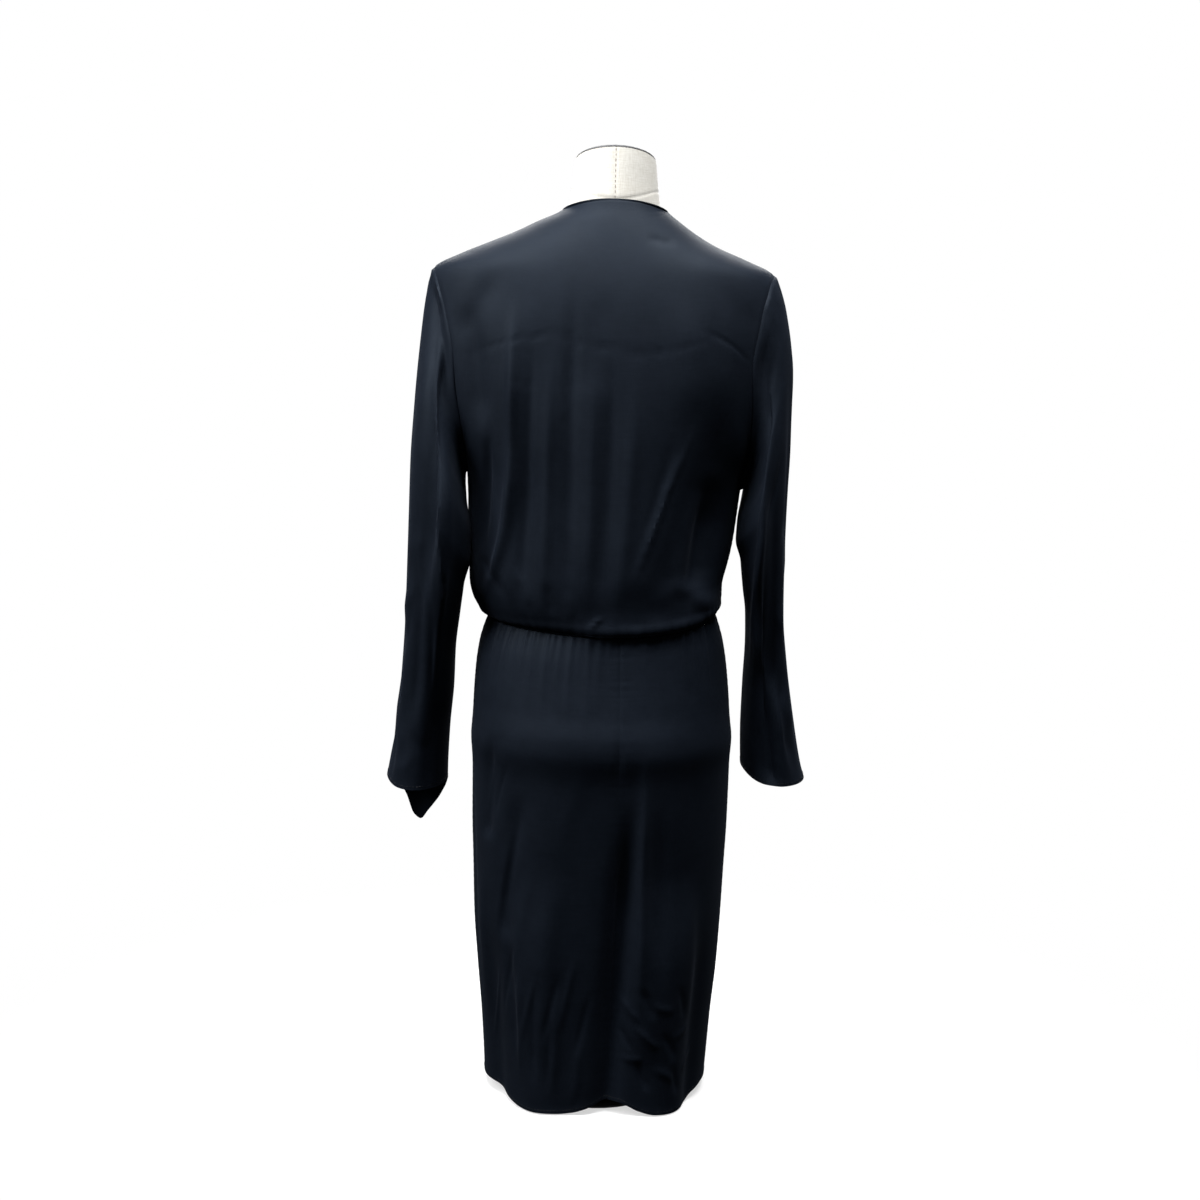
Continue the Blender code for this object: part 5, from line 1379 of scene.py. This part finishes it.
# %% [markdown]
# ## Writing node maths
#
# A node tree has dozens of small sums, and wiring each by hand hides what it means. The
# first class wraps a socket and overloads the operators, with their reflected forms, so
# that an expression such as `1 - noise * 0.4` adds its own Math nodes. Any other node
# comes from the `add` of the second class.

# %% A small language for nodes
class Value:
    """An output of a node, which can be added, multiplied and so on."""

    def __init__(self, nodes, node, output=0):
        self.nodes = nodes
        self.node = node
        self.output = output

    def out(self, output):
        """Another output of the same node."""
        return Value(self.nodes, self.node, output)

    def maths(self, operation, one, two):
        return self.nodes.add("ShaderNodeMath", {0: one, 1: two}, operation=operation)

    def __add__(self, other):
        return self.maths('ADD', self, other)

    def __radd__(self, other):
        return self.maths('ADD', other, self)

    def __sub__(self, other):
        return self.maths('SUBTRACT', self, other)

    def __rsub__(self, other):
        return self.maths('SUBTRACT', other, self)

    def __mul__(self, other):
        return self.maths('MULTIPLY', self, other)

    def __rmul__(self, other):
        return self.maths('MULTIPLY', other, self)


class Nodes:
    """A node tree and the ways of adding nodes to it."""

    def __init__(self, tree):
        self.tree = tree

    def fill(self, node, sockets):
        """Fills inputs of a node, by links or with constants."""
        for name, value in sockets.items():
            if isinstance(value, Value):
                self.tree.links.new(value.node.outputs[value.output], node.inputs[name])
            else:
                node.inputs[name].default_value = value

    def add(self, kind, sockets=None, output=0, **settings):
        """Adds a node, makes its settings, fills its inputs and gives one output."""
        node = self.tree.nodes.new(kind)
        for name, value in settings.items():
            setattr(node, name, value)
        self.fill(node, sockets or {})
        return Value(self, node, output)


print("operators that add nodes:", "+, - and *")

# %% [markdown]
# ## Stitches
#
# Stitches repeat along a line, which is what Geometry Nodes are for. The tree takes a
# line, spreads points along it, sets a short bar with six sides on each, turned along the
# line, and gives it the thread's material. Its inputs are the sizes a sewer would name.
# It ends with Realize Instances, because only real faces can be exported.

# %% The stitch tree
STITCH_SIDES = 6
STITCH_SHORTEST = 0.82    # scale of the smallest and of the largest stitch
STITCH_LONGEST = 1.08


def stitch_tree():
    """Bars of thread along a line: length, gap and thickness are inputs."""
    tree = bpy.data.node_groups.new("running stitch", "GeometryNodeTree")
    for name, kind in (("Line", "Geometry"), ("Stitch Length", "Float"), ("Gap", "Float"),
                       ("Thickness", "Float"), ("Thread", "Material"), ("Seed", "Int")):
        tree.interface.new_socket(name, in_out="INPUT", socket_type="NodeSocket" + kind)
    tree.interface.new_socket("Stitches", in_out="OUTPUT", socket_type="NodeSocketGeometry")
    nodes = Nodes(tree)
    given = nodes.add("NodeGroupInput").out
    length = given("Stitch Length")
    spaced = nodes.add("GeometryNodeCurveToPoints",
                       {"Curve": given("Line"), "Length": length + given("Gap")}, mode='LENGTH')
    bar = nodes.add("GeometryNodeMeshCylinder",
                    {"Vertices": STITCH_SIDES, "Side Segments": 1, "Depth": length,
                     "Radius": given("Thickness") * 0.5})
    turned = nodes.add("FunctionNodeAlignRotationToVector", {"Vector": spaced.out("Tangent")},
                       axis='Z')
    uneven = nodes.add("FunctionNodeRandomValue",
                       {2: STITCH_SHORTEST, 3: STITCH_LONGEST, "Seed": given("Seed")}, 1,
                       data_type='FLOAT')
    placed = nodes.add("GeometryNodeInstanceOnPoints",
                       {"Points": spaced, "Instance": bar, "Rotation": turned, "Scale": uneven})
    real = nodes.add("GeometryNodeRealizeInstances", {"Geometry": placed})
    painted = nodes.add("GeometryNodeSetMaterial",
                        {"Geometry": real, "Material": given("Thread")})
    nodes.add("NodeGroupOutput", {"Stitches": painted})
    return tree


STITCH_TREE = stitch_tree()


def stitches(name, lines, **inputs):
    """Real meshes of stitches along lines of points, as one object."""
    curve = bpy.data.curves.new(name, 'CURVE')
    curve.dimensions = '3D'
    for line in lines:
        spline = curve.splines.new('POLY')
        spline.points.add(len(line) - 1)
        spline.points.foreach_set("co", np.column_stack((line, np.ones(len(line)))).ravel())
    guide = add_item(name + "_line", curve)
    modifier = guide.modifiers.new("Stitches", 'NODES')
    modifier.node_group = STITCH_TREE
    for socket in STITCH_TREE.interface.items_tree:
        key = socket.name.lower().replace(" ", "_")
        if key in inputs:
            modifier[socket.identifier] = inputs[key]
    view = bpy.context.evaluated_depsgraph_get()
    mesh = bpy.data.meshes.new_from_object(guide.evaluated_get(view))
    mesh.name = name
    bpy.data.objects.remove(guide)
    bpy.data.curves.remove(curve)
    return add_item(name, mesh)


print("inputs of the stitch tree:", [s.name for s in STITCH_TREE.interface.items_tree])

# %% [markdown]
# ## Crepe
#
# Crepe is woven from hard-twisted yarns, so its surface is very finely pebbled and has a
# dull sheen in place of a gloss. Navy-black cloth takes in nearly all light, and what is
# seen of its folds is that sheen. A fine plain weave on the UV map and a pebble noise
# give the bump, two slow noises vary the colour and the roughness a little, and the
# shader's sheen stands for the fibre ends.

# %% Crepe material
WEAVE_PITCH = 0.00042     # metres between yarns
LEVEL = (0.12, 0.12, 1.0)            # noise drawn out along both level axes
UPRIGHT = (1.0, 1.0, 0.12)           # and along the upright one


class Paint(Nodes):
    """A new material: its shader, its place on the piece and the nodes that paint it."""

    def __init__(self, name):
        self.material = bpy.data.materials.new(name)
        self.material.use_nodes = True
        super().__init__(self.material.node_tree)
        self.shader = self.tree.nodes["Principled BSDF"]
        self.body = self.add("ShaderNodeTexCoord", output="Object")

    def set(self, sockets):
        """Fills the shader's inputs and gives the finished material."""
        self.fill(self.shader, sockets)
        return self.material

    def mix(self, share, one, two):
        """A blend of two colours."""
        sockets = {0: share, 6: (*one, 1.0), 7: (*two, 1.0)}
        return self.add("ShaderNodeMix", sockets, 2, data_type='RGBA')

    def noise(self, scale, detail, roughness, stretch=None):
        """Noise over the piece, drawn out along each axis whose stretch is small."""
        place = self.body
        if stretch:
            place = self.add("ShaderNodeMapping", {"Vector": place, "Scale": stretch})
        return self.add("ShaderNodeTexNoise", {"Vector": place, "Scale": scale,
                                               "Detail": detail, "Roughness": roughness})

    def share(self, value, low, high, **settings):
        """0 where the value is low and 1 where it is high."""
        sockets = {0: value, 1: low, 2: high, 3: 0.0, 4: 1.0}
        return self.add("ShaderNodeMapRange", sockets, **settings)

    def bump(self, strength, distance, height):
        return self.add("ShaderNodeBump", {"Strength": strength, "Distance": distance,
                                           "Height": height})


def weave(paint, pitch):
    """A plain weave: over and under change like a chessboard with round squares."""
    cloth = paint.add("ShaderNodeUVMap", uv_map="cloth")
    across = paint.add("ShaderNodeSeparateXYZ", {0: cloth})
    turn = 2 * math.pi / pitch
    waves = [paint.add("ShaderNodeMath", {0: way * turn}, operation='SINE')
             for way in (across, across.out(1))]
    return waves[0] * waves[1]


def crepe(name, dark, light, roughness):
    paint = Paint(name)
    yarns = weave(paint, WEAVE_PITCH)
    pebbles = paint.noise(1400.0, 2.0, 0.6)
    slow = paint.noise(9.0, 3.0, 0.55)
    cloudy = paint.noise(46.0, 3.0, 0.6)
    streaks = (paint.noise(520.0, 3.0, 0.6, LEVEL) * 0.6
               + paint.noise(520.0, 3.0, 0.6, UPRIGHT) * 0.4)
    share = paint.share(slow * 0.35 + cloudy * 0.2 + streaks * 0.45, 0.40, 0.60)
    return paint.set({
        "Base Color": paint.mix(share, dark, light),
        "Roughness": roughness + (cloudy - 0.5) * 0.16 + (pebbles - 0.5) * 0.10,
        "Normal": paint.bump(0.45, 0.00016, pebbles * 0.5 + yarns * 0.15 + streaks * 0.9),
        "Sheen Weight": 0.02, "Sheen Roughness": 0.42, "Sheen Tint": (0.62, 0.74, 1.0, 1.0),
        "Specular IOR Level": 0.14, "Specular Tint": (0.66, 0.82, 1.0, 1.0)})


crepe_cloth = crepe("navy black crepe", (0.0036, 0.0054, 0.0096), (0.0056, 0.0080, 0.0136),
                    0.62)
crepe_band = crepe("navy black bias crepe", (0.0034, 0.0050, 0.0088),
                   (0.0053, 0.0075, 0.0128), 0.64)
print("materials of the dress:", crepe_cloth.name, "and", crepe_band.name)

# %% [markdown]
# ## Linen, thread, cap and stand
#
# The form's cover is plain cream linen. Linen yarns vary in thickness, so besides the
# even weave there are slubs: stretched noise along the yarns. The cap is a matt moulded
# plate, and the stand has satin paint with a faint orange-peel.

# %% Linen and plain materials
def linen(name):
    paint = Paint(name)
    slow = paint.noise(14.0, 3.0, 0.6)
    yarn = (paint.noise(900.0, 2.0, 0.5, (1.0, 1.0, 0.10)) * 0.5
            + paint.noise(900.0, 2.0, 0.5, LEVEL) * 0.5)
    share = paint.share(yarn * 0.65 + slow * 0.35, 0.38, 0.62)
    return paint.set({
        "Base Color": paint.mix(share, (0.62, 0.595, 0.53), (0.78, 0.765, 0.715)),
        "Roughness": 0.86 + (slow - 0.5) * 0.12, "Normal": paint.bump(0.5, 0.0003, yarn),
        "Sheen Weight": 0.15})


def plain(name, colour, roughness, grain):
    """A moulded, painted or spun surface with a fine grain in colour and bump."""
    paint = Paint(name)
    fine = paint.noise(grain, 3.0, 0.5)
    slow = paint.noise(25.0, 2.0, 0.5)
    darker = tuple(0.82 * c for c in colour)
    return paint.set({
        "Base Color": paint.mix(slow * 0.6 + fine * 0.4, darker, colour),
        "Roughness": roughness + (fine - 0.5) * 0.12, "Normal": paint.bump(0.25, 0.0001, fine)})


linen_cover = linen("cream linen")
cap_plate = plain("grey cap plate", (0.075, 0.075, 0.080), 0.55, 900.0)
painted_steel = plain("satin painted steel", (0.10, 0.10, 0.105), 0.42, 1200.0)
brown_thread = plain("brown thread", (0.16, 0.10, 0.07), 0.7, 3000.0)
navy_thread = plain("navy thread", (0.0050, 0.0070, 0.0120), 0.6, 3000.0)
print("materials in all:", len(bpy.data.materials))

# %% [markdown]
# ## Sewing it together
#
# The hems are held by a line of stitches four millimetres above the edge, and the form's
# cover shows a hand-sewn brown running stitch down the centre back seam of its neck. Each
# line is read off the finished grid, a hair above the cloth, so the stitches lie on it
# wherever it goes.

# %% Stitch lines
THREAD_LIFT = 0.00018
SKIRT_PANELS = [node for node in GRIDS if node.startswith("skirt")]
SLEEVES = [node for node in GRIDS if node.startswith("sleeve")]
SEAM_ROWS = slice(2, 58)  # of the torso: from just under the cap to the dress


def line_above_hem(grid, closed, above):
    """The line at a distance above the lower edge of a grid, just off its surface."""
    down = lengths(grid, 0)
    to_hem = down[-1:] - down
    normals = grid_normals(grid, closed)
    line = []
    for column in range(grid.shape[1]):
        part = np.interp(-above, -to_hem[:, column], np.arange(len(grid)))
        low, share = int(part), part - int(part)
        high = min(low + 1, len(grid) - 1)
        place = grid[low, column] * (1 - share) + grid[high, column] * share
        line.append(place + normals[low, column] * THREAD_LIFT)
    return np.array(line + line[:1] if closed else line)


def back_seam_line():
    """The column of the torso nearest to the centre back."""
    x, y = torso_points[0, :, 0], torso_points[0, :, 1]
    place = SEAM_ROWS, int(np.argmin(np.abs(x) + FAR * (y < 0)))
    return torso_points[place] + grid_normals(torso_points, True)[place] * THREAD_LIFT


skirt_stitches = stitches(
    "dress_skirt_hem_stitches",
    [line_above_hem(GRIDS[node], False, HEM_DEPTH) for node in SKIRT_PANELS],
    thread=navy_thread, stitch_length=0.0024, gap=0.0014, thickness=0.00034, seed=4)
cuff_stitches = stitches(
    "dress_cuff_hem_stitches",
    [line_above_hem(GRIDS[node], True, HEM_DEPTH) for node in SLEEVES],
    thread=navy_thread, stitch_length=0.0024, gap=0.0014, thickness=0.00034, seed=7)
seam_stitches = stitches(
    "form_back_seam_stitches", [back_seam_line()],
    thread=brown_thread, stitch_length=0.0030, gap=0.0026, thickness=0.0006, seed=9)
print("stitches:", len(skirt_stitches.data.polygons), len(cuff_stitches.data.polygons),
      len(seam_stitches.data.polygons), "faces")

# %% Finishes
for node in (*GRIDS, "waist_casing"):
    bpy.data.objects["dress_" + node].data.materials.append(crepe_cloth)
neck_band.data.materials.append(crepe_band)
torso.data.materials.append(linen_cover)
for node, finish in (("form_neck_cap", cap_plate), ("form_pole", painted_steel),
                     ("form_base", painted_steel)):
    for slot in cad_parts[node].material_slots:
        slot.link = 'OBJECT'
        slot.material = finish
print("meshes with a finish:", len([o for o in bpy.data.objects if o.type == 'MESH']))

# %% [markdown]
# ## Each sheet in place of its solid
#
# Each sheet takes the place of the solid it was made from and rides on the same body.
# A table also says how large each piece's flat cut is. Cloth folds, but it hardly
# stretches, so the area of the hanging piece must be close to the area of the cut.

# %% Pieces and cuts
Cut = namedtuple("Cut", "node width length area rests_on")
CUTS = (
    Cut("bodice_back", 0.50, 0.52, 0.215, "form_linen_torso"),
    Cut("bodice_front_right", 0.36, 0.50, 0.120, "form_linen_torso"),
    Cut("bodice_front_left", 0.36, 0.50, 0.120, "form_linen_torso"),
    Cut("sleeve_left", 0.40, 0.60, 0.180, "dress_bodice_back"),
    Cut("sleeve_right", 0.40, 0.59, 0.165, "dress_bodice_back"),
    Cut("skirt_back_left", 0.27, 0.60, 0.150, "dress_waist_casing"),
    Cut("skirt_back_right", 0.23, 0.60, 0.125, "dress_waist_casing"),
    Cut("skirt_front_left", 0.32, 0.60, 0.175, "dress_waist_casing"),
    Cut("skirt_front_right", 0.32, 0.60, 0.180, "dress_waist_casing"),
)

for cut in CUTS:
    piece = bpy.data.objects["dress_" + cut.node]
    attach(piece, "root")
    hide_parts(cut.node)
for piece, node, slot in ((waist_casing, "waist_casing", "crepe"),
                          (neck_band, "neck_band", "binding"),
                          (torso, "form_torso", "linen")):
    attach(piece, "root")
    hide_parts(node)
for piece, slot in ((skirt_stitches, "crepe"), (cuff_stitches, "crepe"),
                    (seam_stitches, "linen")):
    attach(piece, "root")
for cut in CUTS:
    bpy.data.objects["dress_" + cut.node]
print("sheets declared:", len(CUTS))

# %% [markdown]
# ## Floor and light
#
# A plain pale floor and soft light keep the eye on the cloth. The main light is a broad
# panel overhead, so shoulders and hips, which lean back a little, catch it and the
# upright cloth below them falls off into shade. The background is white only to the
# camera: what the cloth reflects is a much dimmer room, or its dark sheen would wash
# out.

# %% Floor
FLOOR_HALF = 3.0
FLOOR_FADE_FROM = 0.22
FLOOR_FADE_TO = 0.80
FLOOR_GLOW = 0.62


def make_floor():
    corners = np.array([(-1, -1, 0), (1, -1, 0), (1, 1, 0), (-1, 1, 0)]) * FLOOR_HALF
    floor = mesh_item("floor", corners, [(0, 1, 2, 3)])
    paint = Paint("pale floor")
    away = paint.add("ShaderNodeVectorMath", {0: paint.body}, 1, operation='LENGTH')
    shown = paint.share(away, FLOOR_FADE_TO, FLOOR_FADE_FROM, interpolation_type='SMOOTHSTEP')
    floor.data.materials.append(paint.set({
        "Base Color": (0.40, 0.40, 0.40, 1.0), "Emission Color": (1.0, 1.0, 1.0, 1.0),
        "Emission Strength": FLOOR_GLOW, "Roughness": 0.9, "Alpha": shown}))
    floor.visible_diffuse = False
    floor.visible_glossy = False
    return floor


floor = make_floor()

# %% Lights and world
WHITE = (1.0, 1.0, 1.0, 1.0)
ROOM = (0.92, 0.96, 1.0, 1.0)
ROOM_STRENGTH = 0.03


def soft_light(name, place, target, width, depth, watts):
    """A broad panel that faces its target."""
    light = bpy.data.lights.new(name, 'AREA')
    light.shape = 'RECTANGLE'
    light.size = width
    light.size_y = depth
    light.energy = watts
    forward = unit(np.array(target) - np.array(place))
    right = unit(np.cross(forward, (0.0, 0.0, 1.0)))
    set_axes(add_item(name, light), right, np.cross(right, forward), -forward, place)


def room_world():
    """White to the camera and a dim, even room to everything else."""
    world = bpy.data.worlds.new("studio")
    bpy.context.scene.world = world
    world.use_nodes = True
    world.node_tree.nodes.clear()
    nodes = Nodes(world.node_tree)
    lit = nodes.add("ShaderNodeBackground", {"Color": ROOM, "Strength": ROOM_STRENGTH})
    seen = nodes.add("ShaderNodeBackground", {"Color": WHITE, "Strength": 1.0})
    to_camera = nodes.add("ShaderNodeLightPath", output="Is Camera Ray")
    mixed = nodes.add("ShaderNodeMixShader", {0: to_camera, 1: lit, 2: seen})
    nodes.add("ShaderNodeOutputWorld", {"Surface": mixed})


room_world()
bpy.context.scene.view_settings.view_transform = 'Standard'
soft_light("overhead", (-0.08, 0.54, 3.35), (0.0, 0.0, 0.8), 2.4, 1.4, 235)
soft_light("key", (1.80, 0.78, 2.15), (0.0, 0.0, 0.7), 1.0, 1.2, 58)
soft_light("front_fill", (0.0, -2.6, 2.6), (0.0, 0.0, 0.7), 2.4, 1.6, 100)
print("lights:", len([o for o in bpy.data.objects if o.type == 'LIGHT']))
